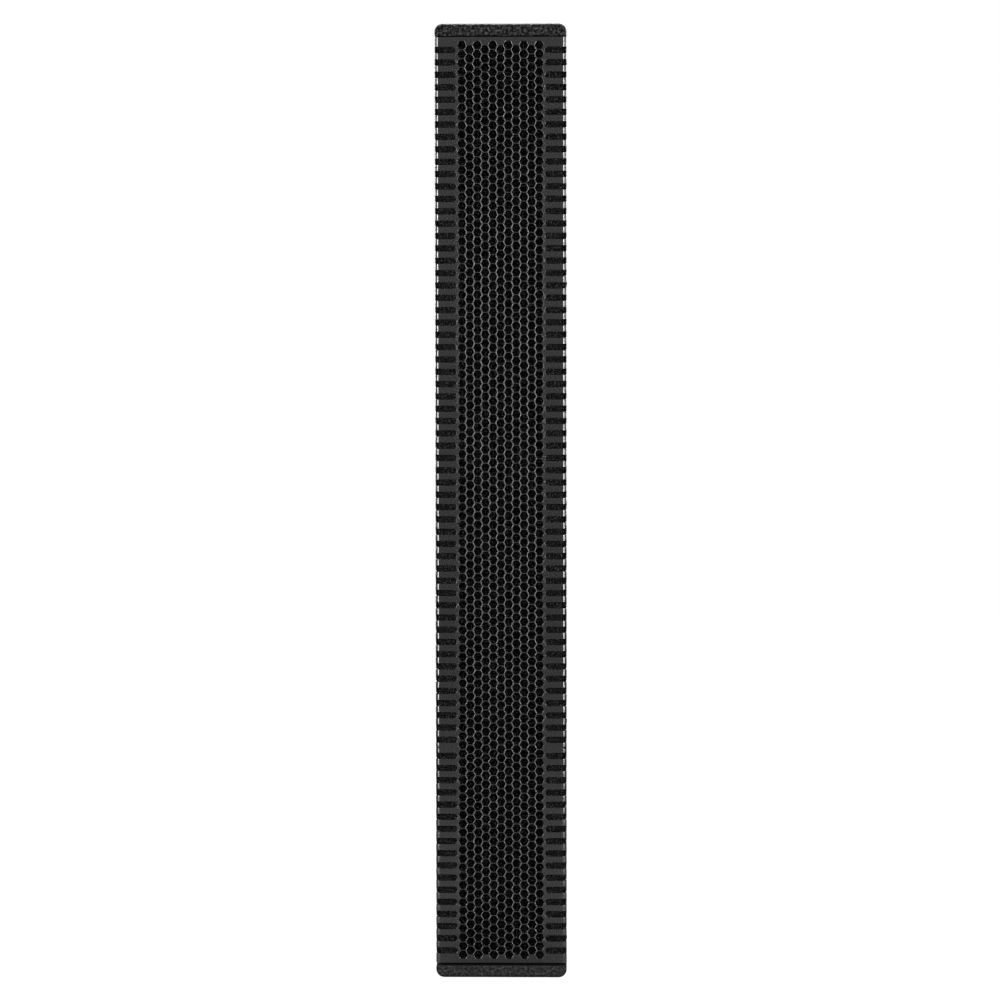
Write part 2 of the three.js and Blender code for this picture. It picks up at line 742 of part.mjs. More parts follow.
// Dished panel: a flange screwed to the cabinet, four walls and a floor full of cut-outs.
function ampPanel() {
  const middle = (TRAY.bottom + TRAY.top) / 2;
  const tall = (TRAY.top - TRAY.bottom) / 2;
  const flangeTall = (TRAY_FLANGE.top - TRAY_FLANGE.bottom) / 2;
  const rimY = REAR_FACE_Y + TRAY_FLANGE.thick;
  const flange = plateXZ(
    roundedRectangle(0, middle, TRAY_FLANGE.halfWidth, flangeTall, TRAY_FLANGE.corner),
    REAR_FACE_Y,
    rimY,
  );
  const dish = plateXZ(
    roundedRectangle(0, middle, TRAY.halfWidth + TRAY.wall, tall + TRAY.wall, TRAY.corner),
    FLOOR_Y - TRAY.floor,
    rimY - BITE,
  );
  const pocketOutline = roundedRectangle(0, middle, TRAY.halfWidth, tall, TRAY.corner - 0.5);
  const pocket = plateXZ(pocketOutline, FLOOR_Y, rimY + OVERCUT);
  const below = FLOOR_Y - 2 * TRAY.floor;
  const above = FLOOR_Y + TRAY.floor;
  const holes = SOCKET_X.map((x) => rodY(SOCKET.bodyR + GAP, below, above, x, INPUT_ROW_Z));
  for (const x of INPUT_X) {
    holes.push(latchNotch(x, INPUT_ROW_Z, below, above));
    holes.push(rodY(KNOB.shaftR + GAP, below, above, x, CONTROL_ROW_Z));
    holes.push(plateXZ(
      roundedRectangle(x, MAINS_ROW_Z, MAINS.bodyHalfWidth + GAP, MAINS.bodyHalfHeight + GAP, 1),
      below,
      above,
      1,
    ));
  }
  holes.push(rodY(BUTTON.radius + GAP, below, above, COLUMN_X, CONTROL_ROW_Z));
  holes.push(block(
    [COLUMN_X - SWITCH.halfWidth - GAP, below, MAINS_ROW_Z - SWITCH.halfHeight - GAP],
    [COLUMN_X + SWITCH.halfWidth + GAP, above, MAINS_ROW_Z + SWITCH.halfHeight + GAP],
  ));
  return cut(join(flange, dish), pocket, ...holes);
}

// Extruded heatsink, a comb seen from above.
function ampHeatsink() {
  const { halfWidth, fins, finThick } = HEATSINK;
  const baseY = SEAT_Y + HEATSINK.base;
  const tipY = REAR_FACE_Y + HEATSINK.proud;
  const pitch = (2 * halfWidth - finThick) / (fins - 1);
  const points = [[-halfWidth, SEAT_Y], [halfWidth, SEAT_Y]];
  for (let i = fins - 1; i >= 0; i -= 1) {
    const left = -halfWidth + i * pitch;
    points.push([left + finThick, tipY], [left, tipY]);
    if (i > 0) {
      points.push([left, baseY], [left - pitch + finThick, baseY]);
    }
  }
  return prismXY(polygon(points), HEATSINK.bottom, HEATSINK.top);
}

// Folded steel box that screens the electronics, open towards the panel.
function ampChassis() {
  const outer = block(
    [-AMP_BOX.halfWidth, AMP_BOX.frontY, AMP_BOX.bottom],
    [AMP_BOX.halfWidth, AMP_BOX.rearY, AMP_BOX.top],
  );
  const inside = AMP_BOX.halfWidth - AMP_BOX.wall;
  const hollow = block(
    [-inside, AMP_BOX.frontY + AMP_BOX.wall, AMP_BOX.bottom + AMP_BOX.wall],
    [inside, AMP_BOX.rearY + OVERCUT, AMP_BOX.top - AMP_BOX.wall],
  );
  const grommets = [-GROMMET.x, GROMMET.x].map(
    (x) => rodZ(GROMMET.radius, AMP_BOX.top - OVERCUT, AMP_BOX.top + OVERCUT, x, GROMMET.y),
  );
  return cut(outer, hollow, ...grommets);
}

// Power and amplifier board with its transformer, reservoir capacitors and heat spreader.
function ampBoard() {
  const topY = POWER_BOARD.y + BOARD_THICK;
  const footY = topY - BITE;
  const board = block(
    [-BOARD_HALF_WIDTH, POWER_BOARD.y, POWER_BOARD.bottom],
    [BOARD_HALF_WIDTH, topY, POWER_BOARD.top],
  );
  const { innerR, outerR } = TRANSFORMER;
  const windingY = topY + TRANSFORMER.tall;
  const transformer = turnedY(
    [[innerR, footY], [outerR, footY], [outerR, windingY], [innerR, windingY], [innerR, footY]],
    TRANSFORMER.x,
    TRANSFORMER.z,
  );
  const capacitors = CAPACITOR.places.map(
    ([x, z]) => rodY(CAPACITOR.radius, footY, topY + CAPACITOR.tall, x, z),
  );
  const spreader = block(
    [-SPREADER.halfWidth, footY, SPREADER.bottom],
    [SPREADER.halfWidth, topY + SPREADER.tall, SPREADER.top],
  );
  const chokes = CHOKE.xs.map((x) => rodY(CHOKE.radius, footY, topY + CHOKE.tall, x, CHOKE.z));
  return join(board, transformer, ...capacitors, spreader, ...chokes);
}

// Signal board behind the sockets and controls.
function inputBoard() {
  const frontY = INPUT_BOARD.y;
  const rearY = frontY + BOARD_THICK;
  const board = block(
    [-BOARD_HALF_WIDTH, frontY, INPUT_BOARD.bottom],
    [BOARD_HALF_WIDTH, rearY, INPUT_BOARD.top],
  );
  const processor = block(
    [-PROCESSOR.halfWidth, frontY - PROCESSOR.tall, PROCESSOR.bottom],
    [PROCESSOR.halfWidth, frontY + BITE, PROCESSOR.top],
  );
  const converters = CONVERTER.xs.map((x) => block(
    [x - CONVERTER.halfWidth, frontY - CONVERTER.tall, CONVERTER.bottom],
    [x + CONVERTER.halfWidth, frontY + BITE, CONVERTER.top],
  ));
  const half = POTENTIOMETER.halfWidth;
  const pots = INPUT_X.map((x) => block(
    [x - half, rearY - BITE, CONTROL_ROW_Z - half],
    [x + half, POTENTIOMETER.rearY, CONTROL_ROW_Z + half],
  ));
  return join(board, processor, ...converters, ...pots);
}

// Round panel connector on a rectangular flange.
function socket(x, boreDepth) {
  const z = INPUT_ROW_Z;
  const faceY = SEAT_Y + BEZEL_THICK;
  const outline = roundedRectangle(x, z, SOCKET.halfWidth, SOCKET.halfHeight, SOCKET.corner);
  const flange = plateXZ(outline, SEAT_Y, faceY, 1);
  const body = rodY(SOCKET.bodyR, SOCKET.bodyY, SEAT_Y + 1, x, z);
  const bore = rodY(SOCKET.boreR, faceY - boreDepth, faceY + OVERCUT, x, z);
  const core = rodY(SOCKET.coreR, SEAT_Y - boreDepth, SEAT_Y - 1, x, z);
  return join(cut(join(flange, body), bore), core);
}

function latch(x) {
  return block(
    [x - LATCH.halfWidth, LATCH.frontY, INPUT_ROW_Z + LATCH.low],
    [x + LATCH.halfWidth, LATCH.rearY, INPUT_ROW_Z + LATCH.high],
  );
}

function mainsShell(x) {
  const outline = roundedRectangle(x, MAINS_ROW_Z, MAINS.halfWidth, MAINS.halfHeight, MAINS.corner);
  const flange = plateXZ(outline, SEAT_Y, SEAT_Y + BEZEL_THICK, 1);
  const body = plateXZ(
    roundedRectangle(x, MAINS_ROW_Z, MAINS.bodyHalfWidth, MAINS.bodyHalfHeight, 1),
    MAINS.bodyY,
    SEAT_Y + 1,
    1,
  );
  return join(flange, body);
}

// Recessed inlet with three blades standing in it.
function mainsInlet(x) {
  const faceY = SEAT_Y + BEZEL_THICK;
  const floorY = faceY - MAINS.depth;
  const opening = plateXZ(
    roundedRectangle(x, MAINS_ROW_Z, MAINS.openingHalfWidth, MAINS.openingHalfHeight, MAINS.corner),
    floorY,
    faceY + OVERCUT,
    1,
  );
  const blades = CONTACTS.map(([dx, dz]) => block(
    [x + dx - BLADE.halfWidth, floorY - 1, MAINS_ROW_Z + dz - BLADE.halfHeight],
    [x + dx + BLADE.halfWidth, floorY + BLADE.length, MAINS_ROW_Z + dz + BLADE.halfHeight],
  ));
  return join(cut(mainsShell(x), opening), ...blades);
}

// Outlet with a slit for each blade of the plug.
function mainsOutlet(x) {
  const slits = CONTACTS.map(([dx, dz]) => block(
    [x + dx - SLIT.halfWidth, SEAT_Y - SLIT.depth, MAINS_ROW_Z + dz - SLIT.halfHeight],
    [x + dx + SLIT.halfWidth, SEAT_Y + OVERCUT, MAINS_ROW_Z + dz + SLIT.halfHeight],
  ));
  return cut(mainsShell(x), ...slits);
}

// Switch body with a bezel and a well for the rocker.
function powerSwitchHousing(x) {
  const z = MAINS_ROW_Z;
  const outline = roundedRectangle(x, z, SWITCH.bezelHalfWidth, SWITCH.bezelHalfHeight, 2);
  const flange = plateXZ(outline, SEAT_Y, SEAT_Y + BEZEL_THICK, 1);
  const body = block(
    [x - SWITCH.halfWidth, SWITCH.bodyY, z - SWITCH.halfHeight],
    [x + SWITCH.halfWidth, SEAT_Y + 1, z + SWITCH.halfHeight],
  );
  const pocket = block(
    [x - ROCKER.halfWidth - GAP, ROCKER.pivotY - ROCKER.hubR - 1, z - SWITCH.wellHalfHeight],
    [x + ROCKER.halfWidth + GAP, SEAT_Y + OVERCUT, z + SWITCH.wellHalfHeight],
  );
  return cut(join(flange, body), pocket);
}

// Rocker seen from the side, drawn about its pivot and set tilted to its on position.
function powerRocker(x) {
  const outline = new THREE.Shape();
  outline.moveTo(-ROCKER.reach, ROCKER.edgeLow);
  outline.lineTo(-ROCKER.hubR, 0);
  outline.absarc(0, 0, ROCKER.hubR, Math.PI, 2 * Math.PI, false);
  outline.lineTo(ROCKER.reach, ROCKER.edgeLow);
  outline.lineTo(ROCKER.reach, ROCKER.edgeHigh);
  outline.lineTo(0, ROCKER.dip);
  outline.lineTo(-ROCKER.reach, ROCKER.edgeHigh);
  const geometry = new THREE.ExtrudeGeometry(outline, {
    depth: 2 * ROCKER.halfWidth,
    bevelEnabled: false,
    curveSegments: 6,
  });
  // The outline's X becomes world Z and its Y stays world Y, which turns its depth to -X.
  geometry.rotateY(-Math.PI / 2);
  geometry.rotateX(THREE.MathUtils.degToRad(ROCKER.tilt));
  return geometry.translate(x + ROCKER.halfWidth, ROCKER.pivotY, MAINS_ROW_Z);
}

// Knob on its shaft, with a raised pointer.
function levelKnob(x) {
  const z = CONTROL_ROW_Z;
  const cap = turnedY([
    [0, KNOB.shaftY],
    [KNOB.shaftR, KNOB.shaftY],
    [KNOB.shaftR, KNOB.skirtY],
    [KNOB.skirtR, KNOB.skirtY],
    [KNOB.bevelR, KNOB.bevelY],
    [KNOB.gripR, KNOB.gripY],
    [KNOB.topR, KNOB.topY],
    [0, KNOB.topY],
  ], x, z);
  const pointer = block(
    [x - POINTER.halfWidth, POINTER.baseY, z],
    [x + POINTER.halfWidth, POINTER.topY, z + POINTER.length],
  );
  return join(cap, pointer);
}

function modeButton(x) {
  return turnedY([
    [0, BUTTON.baseY],
    [BUTTON.radius, BUTTON.baseY],
    [BUTTON.radius, BUTTON.shoulderY],
    [BUTTON.topR, BUTTON.topY],
    [0, BUTTON.topY],
  ], x, CONTROL_ROW_Z);
}

function buildAmplifier() {
  add('amp_panel', ampPanel(), 'panelPaint');
  add('amp_heatsink', ampHeatsink(), 'castAluminium');
  add('amp_chassis', ampChassis(), 'zincSteel');
  add('amp_board', ampBoard(), 'circuitBoard');
  add('input_board', inputBoard(), 'circuitBoard');
  add('mains_inlet', mainsInlet(-COLUMN_X), 'mouldedPlastic');
  add('mains_outlet', mainsOutlet(0), 'mouldedPlastic');
  add('power_switch_housing', powerSwitchHousing(COLUMN_X), 'mouldedPlastic');
  add('power_rocker', powerRocker(COLUMN_X), 'mouldedPlastic');
  INPUT_X.forEach((x, i) => {
    const notch = latchNotch(x, INPUT_ROW_Z, LATCH.frontY - LATCH.notchDepth, SEAT_Y + OVERCUT);
    add(`input_socket_${i + 1}`, cut(socket(x, SOCKET.inputDepth), notch), 'mouldedPlastic');
    add(`input_latch_${i + 1}`, latch(x), 'titanium');
    add(`level_knob_${i + 1}`, levelKnob(x), 'mouldedPlastic');
  });
  add('link_socket', socket(COLUMN_X, SOCKET.linkDepth), 'mouldedPlastic');
  add('mode_button', modeButton(COLUMN_X), 'mouldedPlastic');
}

// ---------------------------------------------------------------------------
// Handle, rigging, pole mount, wiring and damping
// ---------------------------------------------------------------------------

// Moulded cup let into the rear panel, with a flange round its mouth.
function handleCup() {
  const rimY = REAR_FACE_Y + HANDLE.flangeThick;
  const grown = (x, z) => roundedRectangle(
    0,
    HANDLE_Z,
    HANDLE.halfWidth + x,
    HANDLE.halfHeight + z,
    HANDLE.corner + x / 2,
  );
  const flange = plateXZ(grown(HANDLE.flangeX, HANDLE.flangeZ), REAR_FACE_Y, rimY);
  const outer = plateXZ(grown(HANDLE.wall, HANDLE.wall), HANDLE.depthY - HANDLE.wall, rimY - BITE);
  const pocket = plateXZ(grown(0, 0), HANDLE.depthY, rimY + OVERCUT);
  return cut(join(flange, outer), pocket);
}

function handleGrip() {
  const reach = HANDLE.halfHeight - GAP;
  const section = roundedRectangle(0, GRIP.y, GRIP.halfWidth, GRIP.halfDepth, GRIP.corner);
  return prismXY(section, HANDLE_Z - reach, HANDLE_Z + reach);
}

function riggingPlate(z) {
  const outline = roundedRectangle(0, z, RIGGING.halfWidth, RIGGING.halfHeight, RIGGING.corner);
  for (const side of [-1, 1]) {
    const hole = new THREE.Path();
    hole.absarc(side * RIGGING.holeX, z, RIGGING.holeR, 0, 2 * Math.PI, true);
    outline.holes.push(hole);
  }
  return plateXZ(outline, REAR_FACE_Y, REAR_FACE_Y + RIGGING.thick, 3);
}

function topInsert() {
  const top = HEIGHT - INSERT.recess;
  const underside = HEIGHT - CAP - GAP;
  return turnedZ([
    [INSERT.boreR, top],
    [INSERT.boreR, underside - INSERT.flangeThick],
    [INSERT.flangeR, underside - INSERT.flangeThick],
    [INSERT.flangeR, underside],
    [INSERT.bodyR, underside],
    [INSERT.bodyR, top],
    [INSERT.boreR, top],
  ], 0, 0);
}

// Steel cup for a 35 mm pole, with its flange let into the underside.
function poleSocket() {
  const low = POLE_FLANGE.recess;
  const flangeTop = low + POLE_FLANGE.thick;
  return turnedZ([
    [0, POLE_DEPTH],
    [POLE_BORE_R, POLE_DEPTH],
    [POLE_BORE_R, low],
    [POLE_FLANGE.radius, low],
    [POLE_FLANGE.radius, flangeTop],
    [POLE_TUBE_R, flangeTop],
    [POLE_TUBE_R, POLE_DEPTH + POLE_BACK_THICK],
    [0, POLE_DEPTH + POLE_BACK_THICK],
  ], 0, POLE_Y, FINE_ROUND);
}

// Loom that passes each woofer's terminals and loops back to the side wall between them.
function wooferCable() {
  const points = [];
  WOOFER_Z.forEach((z, i) => {
    points.push([WOOFER_LOOM.terminalX, WOOFER_LOOM.terminalY, z]);
    const next = WOOFER_Z[i + 1];
    if (next) {
      points.push([WOOFER_LOOM.wallX, WOOFER_LOOM.wallY, (z + next) / 2]);
    }
  });
  return cable(points, WOOFER_LOOM.radius, WOOFER_LOOM.steps);
}

function buildFittings() {
  add('handle_cup', handleCup(), 'mouldedPlastic');
  add('handle_grip', handleGrip(), 'rubberGrip');
  add('lower_rigging_plate', riggingPlate(RIGGING_Z[0]), 'panelPaint');
  add('upper_rigging_plate', riggingPlate(RIGGING_Z[1]), 'panelPaint');
  add('top_insert', topInsert(), 'zincSteel');
  add('pole_socket', poleSocket(), 'panelPaint');
  add('woofer_cable', wooferCable(), 'cableJacket');
  add('hf_cable', cable(HF_LEAD.path, HF_LEAD.radius, HF_LEAD.steps), 'cableJacket');
  const pad = block(
    [-PAD.halfWidth, PAD.frontY, PAD.bottom],
    [PAD.halfWidth, REAR_INNER_Y - GAP, PAD.top],
  );
  add('damping_pad', pad, 'fibre');
}

buildCabinet();
buildFront();
buildWoofers();
buildHighFrequencySection();
buildAmplifier();
buildFittings();

export default column;
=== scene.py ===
"""Looks for the column loudspeaker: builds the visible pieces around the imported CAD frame.

Shapes are worked out in millimetres in the frame's own axes and turned to metres when a
piece is made. The front of the column faces -Y and Z is up.
"""

import math

import bmesh
import bpy
import numpy as np
from mathutils import Matrix, Vector, noise
from mathutils.geometry import delaunay_2d_cdt


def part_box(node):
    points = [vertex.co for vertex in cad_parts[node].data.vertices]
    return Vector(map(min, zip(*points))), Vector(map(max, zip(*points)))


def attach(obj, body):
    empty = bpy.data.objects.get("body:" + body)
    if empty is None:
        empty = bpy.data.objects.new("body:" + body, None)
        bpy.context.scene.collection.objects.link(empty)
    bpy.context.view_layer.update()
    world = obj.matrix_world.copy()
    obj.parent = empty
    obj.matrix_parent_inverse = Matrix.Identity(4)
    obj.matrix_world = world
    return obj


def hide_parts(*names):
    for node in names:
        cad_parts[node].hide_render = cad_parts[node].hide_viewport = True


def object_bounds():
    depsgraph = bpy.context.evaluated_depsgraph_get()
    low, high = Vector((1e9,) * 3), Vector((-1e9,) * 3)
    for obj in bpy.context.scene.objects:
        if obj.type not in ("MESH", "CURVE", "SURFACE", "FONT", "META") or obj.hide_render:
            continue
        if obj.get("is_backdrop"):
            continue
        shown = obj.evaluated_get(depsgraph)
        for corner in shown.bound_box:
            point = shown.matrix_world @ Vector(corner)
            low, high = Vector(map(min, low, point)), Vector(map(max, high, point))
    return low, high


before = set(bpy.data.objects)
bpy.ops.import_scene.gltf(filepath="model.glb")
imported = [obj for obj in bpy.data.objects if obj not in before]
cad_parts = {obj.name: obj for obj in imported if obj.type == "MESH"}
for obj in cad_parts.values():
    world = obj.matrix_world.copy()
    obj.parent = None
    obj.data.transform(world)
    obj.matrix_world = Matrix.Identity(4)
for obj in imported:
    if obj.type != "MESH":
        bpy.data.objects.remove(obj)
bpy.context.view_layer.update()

MM = 0.001
CABINET = "cabinet"
TAU = 2 * math.pi
SIDES = (-1, 1)


def box_mm(node):
    """A CAD node's lowest and highest corners in millimetres."""
    low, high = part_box(node)
    return low / MM, high / MM


# Depths below are given from the cabinet's own middle, which the frame puts at SHIFT_Y.
SHIFT_Y = box_mm("rear_panel")[1].y - 85.0
REAR_Y = 85.0 + SHIFT_Y


# ---- Outlines: lists of (u, v) points in millimetres ----

def around(count, offset=0.0):
    """Equal turns round a circle, in radians."""
    return [TAU * (k + offset) / count for k in range(count)]


def quarter(steps):
    """Equal turns through a quarter of a circle, both ends included, in radians."""
    return [math.pi / 2 * i / steps for i in range(steps + 1)]


def arc(cu, cv, radius, start, end, steps):
    """Points on an arc, angles in degrees, both ends included."""
    angles = [math.radians(start + (end - start) * i / steps) for i in range(steps + 1)]
    return [(cu + radius * math.cos(a), cv + radius * math.sin(a)) for a in angles]


def circle(cu, cv, radius, count=32):
    return arc(cu, cv, radius, 0, 360 - 360 / count, count - 1)


def rounded_rectangle(cu, cv, half_u, half_v, radius, steps=5):
    right, top = half_u - radius, half_v - radius
    corners = ((right, top, 0), (-right, top, 90), (-right, -top, 180), (right, -top, 270))
    points = []
    for du, dv, angle in corners:
        points += arc(cu + du, cv + dv, radius, angle, angle + 90, steps)
    return points


def hexagon(cu, cv, half_width, half_height):
    """Corners of a hexagon with points at left and right, anticlockwise from the right."""
    steps = ((1, 0), (0.5, 1), (-0.5, 1), (-1, 0), (-0.5, -1), (0.5, -1))
    return [(cu + half_width * a, cv + half_height * b) for a, b in steps]


def contains(loop, u, v):
    """Whether a closed outline holds a point."""
    inside = False
    for (u0, v0), (u1, v1) in zip(loop, loop[1:] + loop[:1]):
        if (v0 > v) != (v1 > v) and u < u0 + (v - v0) * (u1 - u0) / (v1 - v0):
            inside = not inside
    return inside


def inward_offsets(loop):
    """For each corner of an anticlockwise outline, the step that moves both its sides in by 1."""
    corners = np.array(loop, float)
    ahead = np.roll(corners, -1, axis=0) - corners
    ahead /= np.linalg.norm(ahead, axis=1)[:, None]
    left = np.stack([-ahead[:, 1], ahead[:, 0]], axis=1)
    before = np.roll(left, 1, axis=0)
    return (left + before) / (1 + (left * before).sum(axis=1))[:, None]


# ---- Solids: (points, faces) pairs in millimetres ----

class FlatMesh:
    """A flat mesh in (u, v) whose faces share their corner points and run anticlockwise."""

    def __init__(self):
        self.points = []
        self.faces = []
        self._index = {}

    def point(self, place):
        key = (round(place[0], 3), round(place[1], 3))
        if key not in self._index:
            self._index[key] = len(self.points)
            self.points.append((float(place[0]), float(place[1])))
        return self._index[key]

    def face(self, *places, flip=False):
        face = [self.point(p) for p in places]
        self.faces.append(face[::-1] if flip else face)


def flat_plate(outer, holes=()):
    """Triangulates an outline with holes."""
    corners, edges = [], []
    for loop in (outer, *holes):
        first = len(corners)
        corners += [Vector(p) for p in loop]
        edges += [(first + i, first + (i + 1) % len(loop)) for i in range(len(loop))]
    points, _, triangles, *_ = delaunay_2d_cdt(corners, edges, [], 1, 1e-6)
    mesh = FlatMesh()
    for a, b, c in triangles:
        pa, pb, pc = points[a], points[b], points[c]
        middle = (pa + pb + pc) / 3
        if contains(outer, *middle) and not any(contains(h, *middle) for h in holes):
            mesh.face(pa, pb, pc, flip=(pb - pa).cross(pc - pa) < 0)
    return mesh


def thicken(mesh, place, thickness, edge_round, steps=2):
    """Makes a plate of a flat mesh, with every edge and hole rounded at its front.

    place(u, v, depth) maps arrays to an array of points; depth runs from the front face.
    """
    flat = np.array(mesh.points, float)
    used = {(a, b) for face in mesh.faces for a, b in zip(face, face[1:] + face[:1])}
    rim = sorted((a, b) for a, b in used if (b, a) not in used)
    left_out, left_in = np.zeros_like(flat), np.zeros_like(flat)
    for a, b in rim:
        step = flat[b] - flat[a]
        left_out[a] = left_in[b] = np.array([-step[1], step[0]]) / np.linalg.norm(step)
    spread = 1 + (left_out * left_in).sum(axis=1)
    inward = (left_out + left_in) / np.maximum(spread, 0.3)[:, None]

    layers = [(edge_round * (1 - math.sin(t)), edge_round * (1 - math.cos(t)))
              for t in quarter(steps)]
    layers.append((0.0, thickness))
    rim_points = sorted({a for a, _ in rim})
    points, numbers, count = [], [], 0
    for i, (shrink, depth) in enumerate(layers):
        members = list(range(len(flat))) if i in (0, len(layers) - 1) else rim_points
        uv = flat[members] + inward[members] * shrink
        points.append(place(uv[:, 0], uv[:, 1], depth))
        numbers.append({m: count + k for k, m in enumerate(members)})
        count += len(members)
    faces = [[numbers[0][i] for i in face] for face in mesh.faces]
    faces += [[numbers[-1][i] for i in reversed(face)] for face in mesh.faces]
    for near, far in zip(numbers, numbers[1:]):
        faces += [[near[b], near[a], far[a], far[b]] for a, b in rim]
    return np.concatenate(points), faces


def facing(axis, sign, level):
    """Places a plate whose front face lies at a level of an axis and looks along the sign.

    u and v run along the other two axes.
    """
    def place(u, v, depth):
        columns = [u, v]
        columns.insert(axis, np.full_like(u, level - sign * depth))
        return np.stack(columns, axis=1)
    return place


def facing_rear(y):
    return facing(1, 1, y)


def loft(rings, caps=True):
    """Joins closed rings with the same number of points, and closes both ends."""
    count = len(rings[0])
    points = np.concatenate([np.array(r, float) for r in rings])
    faces = []
    for near in range(0, (len(rings) - 1) * count, count):
        far = near + count
        for i in range(count):
            j = (i + 1) % count
            faces.append([near + i, near + j, far + j, far + i])
    if caps:
        faces += [list(range(count)), list(range(len(points) - count, len(points)))]
    return points, faces


def closed_loft(rings):
    """Joins closed rings into a ring-shaped tube: the last ring meets the first."""
    points, faces = loft(rings, caps=False)
    count = len(rings[0])
    last = len(points) - count
    for i in range(count):
        j = (i + 1) % count
        faces.append([last + i, last + j, j, i])
    return points, faces


def prism(outline, axis, low, high, radius, steps=3):
    """An outline swept along X, Y or Z with both end edges rounded.

    radius is a number, or one number for each point of the outline.
    """
    flat, inward = np.array(outline, float), inward_offsets(outline)
    radii = np.broadcast_to(np.asarray(radius, float), (len(flat),))
    rings = []
    for level, sign, turns in ((low, 1, quarter(steps)), (high, -1, quarter(steps)[::-1])):
        for turn in turns:
            uv = flat + inward * (radii * (1 - math.sin(turn)))[:, None]
            columns = [uv[:, 0], uv[:, 1]]
            columns.insert("XYZ".index(axis), level + sign * radii * (1 - math.cos(turn)))
            rings.append(np.stack(columns, axis=1))
    return loft(rings)


def lathe(profile, centre, axis="Y", count=48):
    """A turned solid. The profile is (radius, along) pairs and closes on the axis or itself."""
    points, faces, rings = [], [], []
    for radius, along in profile:
        number = 1 if radius == 0 else count
        rings.append([len(points) + i for i in range(number)])
        for turn in around(count)[:number]:
            place = [centre[0] + radius * math.cos(turn), centre[1] + radius * math.sin(turn)]
            place.insert("XYZ".index(axis), along)
            points.append(place)
    pairs = list(zip(rings, rings[1:]))
    if profile[0][0] and profile[-1][0]:
        pairs.append((rings[-1], rings[0]))
    for a, b in pairs:
        for i in range(count):
            j = (i + 1) % count
            face = [a[i % len(a)], a[j % len(a)], b[j % len(b)], b[i % len(b)]]
            faces.append(list(dict.fromkeys(face)))
    return np.array(points), [f for f in faces if len(f) > 2]


def lathe_at(profile, x, z, count=48):
    """A turned solid about a line along Y, its profile in the cabinet's own depth."""
    return lathe([(r, y + SHIFT_Y) for r, y in profile], (x, z), "Y", count)


def combine(*solids):
    """Puts several solids in one piece."""
    points, faces, first = [], [], 0
    for solid_points, solid_faces in solids:
        points.append(np.array(solid_points, float))
        faces += [[first + i for i in face] for face in solid_faces]
        first += len(solid_points)
    return np.concatenate(points), faces


def zip_chains(mesh, left, right):
    """Fills the band between two chains of points that both run along u."""
    i = j = 0
    while i < len(left) - 1 or j < len(right) - 1:
        if j == len(right) - 1 or (i < len(left) - 1 and left[i + 1][0] <= right[j + 1][0]):
            mesh.face(left[i], right[j], left[i + 1])
            i += 1
        else:
            mesh.face(left[i], right[j], right[j + 1])
            j += 1


def frame_rings(cz, profile, steps=5):
    """A section swept round a rounded rectangle in X and Z.

    The profile is (half width, half height, corner radius, y) for each ring.
    """
    return [
        [(x, y, z) for x, z in rounded_rectangle(0, cz, half_x, half_z, radius, steps)]
        for half_x, half_z, radius, y in profile
    ]


def bar(low, high, radius=0.6):
    """A block with rounded edges all round."""
    (x0, y0, z0), (x1, y1, z1) = low, high
    outline = rounded_rectangle((x0 + x1) / 2, (z0 + z1) / 2, (x1 - x0) / 2, (z1 - z0) / 2,
                                radius, 3)
    return prism(outline, "Y", y0, y1, radius * 0.9, steps=2)


def pan_head(cu, cv, radius, place, height=1.8, socket=0.42):
    """A screw head standing proud of a face, with a hexagonal recess."""
    recess = hexagon(cu, cv, radius * socket, radius * socket * math.sqrt(3) / 2)
    disc = flat_plate(circle(cu, cv, radius, 24), [recess])
    floor = flat_plate(circle(cu, cv, radius * socket, 12))

    def deeper(u, v, depth):
        return place(u, v, depth + height * 0.7)

    return combine(thicken(disc, place, height, height * 0.55), thicken(floor, deeper, 0.3, 0.05))


def skin_depth(relief, coarse, fine):
    """How far noise at two sizes presses a soft skin in."""
    depth = relief * (0.5 + 0.5 * noise.noise(coarse))
    return max(depth + 0.3 * relief * noise.noise(fine), 0.0)


def padded(section, levels, depth_at):
    """Sweeps an outline up Z and presses its skin in by a depth for each place."""
    inward = inward_offsets(section)
    rings = []
    for z in levels:
        ring = []
        for (x, y), (dx, dy) in zip(section, inward):
            depth = depth_at(Vector((x, y, z)))
            ring.append((x + dx * depth, y + dy * depth, z))
        rings.append(ring)
    return loft(rings)


def tube(points, radius, sides=12, per_span=8):
    """A round cable through points, on a smooth path."""
    known = [np.array(p, float) for p in points]
    known = [2 * known[0] - known[1], *known, 2 * known[-1] - known[-2]]
    path = []
    for k in range(1, len(known) - 2):
        a, b, c, d = known[k - 1 : k + 3]
        for t in (i / per_span for i in range(per_span)):
            path.append(0.5 * (2 * b + (c - a) * t + (2 * a - 5 * b + 4 * c - d) * t**2
                               + (3 * b - a - 3 * c + d) * t**3))
    path.append(known[-2])
    rings = []
    across = np.array([0.0, 1.0, 0.0])
    for i, centre in enumerate(path):
        ahead = path[min(i + 1, len(path) - 1)] - path[max(i - 1, 0)]
        ahead = ahead / np.linalg.norm(ahead)
        across = across - ahead * across.dot(ahead)
        across /= np.linalg.norm(across)
        other = np.cross(ahead, across)
        rings.append([centre + radius * (across * math.cos(t) + other * math.sin(t))
                      for t in around(sides)])
    return loft(rings)


# ---- Pieces ----

SMOOTH_ANGLE = math.radians(38)
SLOT_OF = {}


def mesh_of(name, solid):
    points, faces = solid
    mesh = bpy.data.meshes.new(name)
    mesh.from_pydata((np.array(points) * MM).tolist(), [], faces)
    work = bmesh.new()
    work.from_mesh(mesh)
    bmesh.ops.recalc_face_normals(work, faces=work.faces)
    work.to_mesh(mesh)
    work.free()
    return mesh


def show(name, data):
    made = bpy.data.objects.new(name, data)
    bpy.context.scene.collection.objects.link(made)
    return made


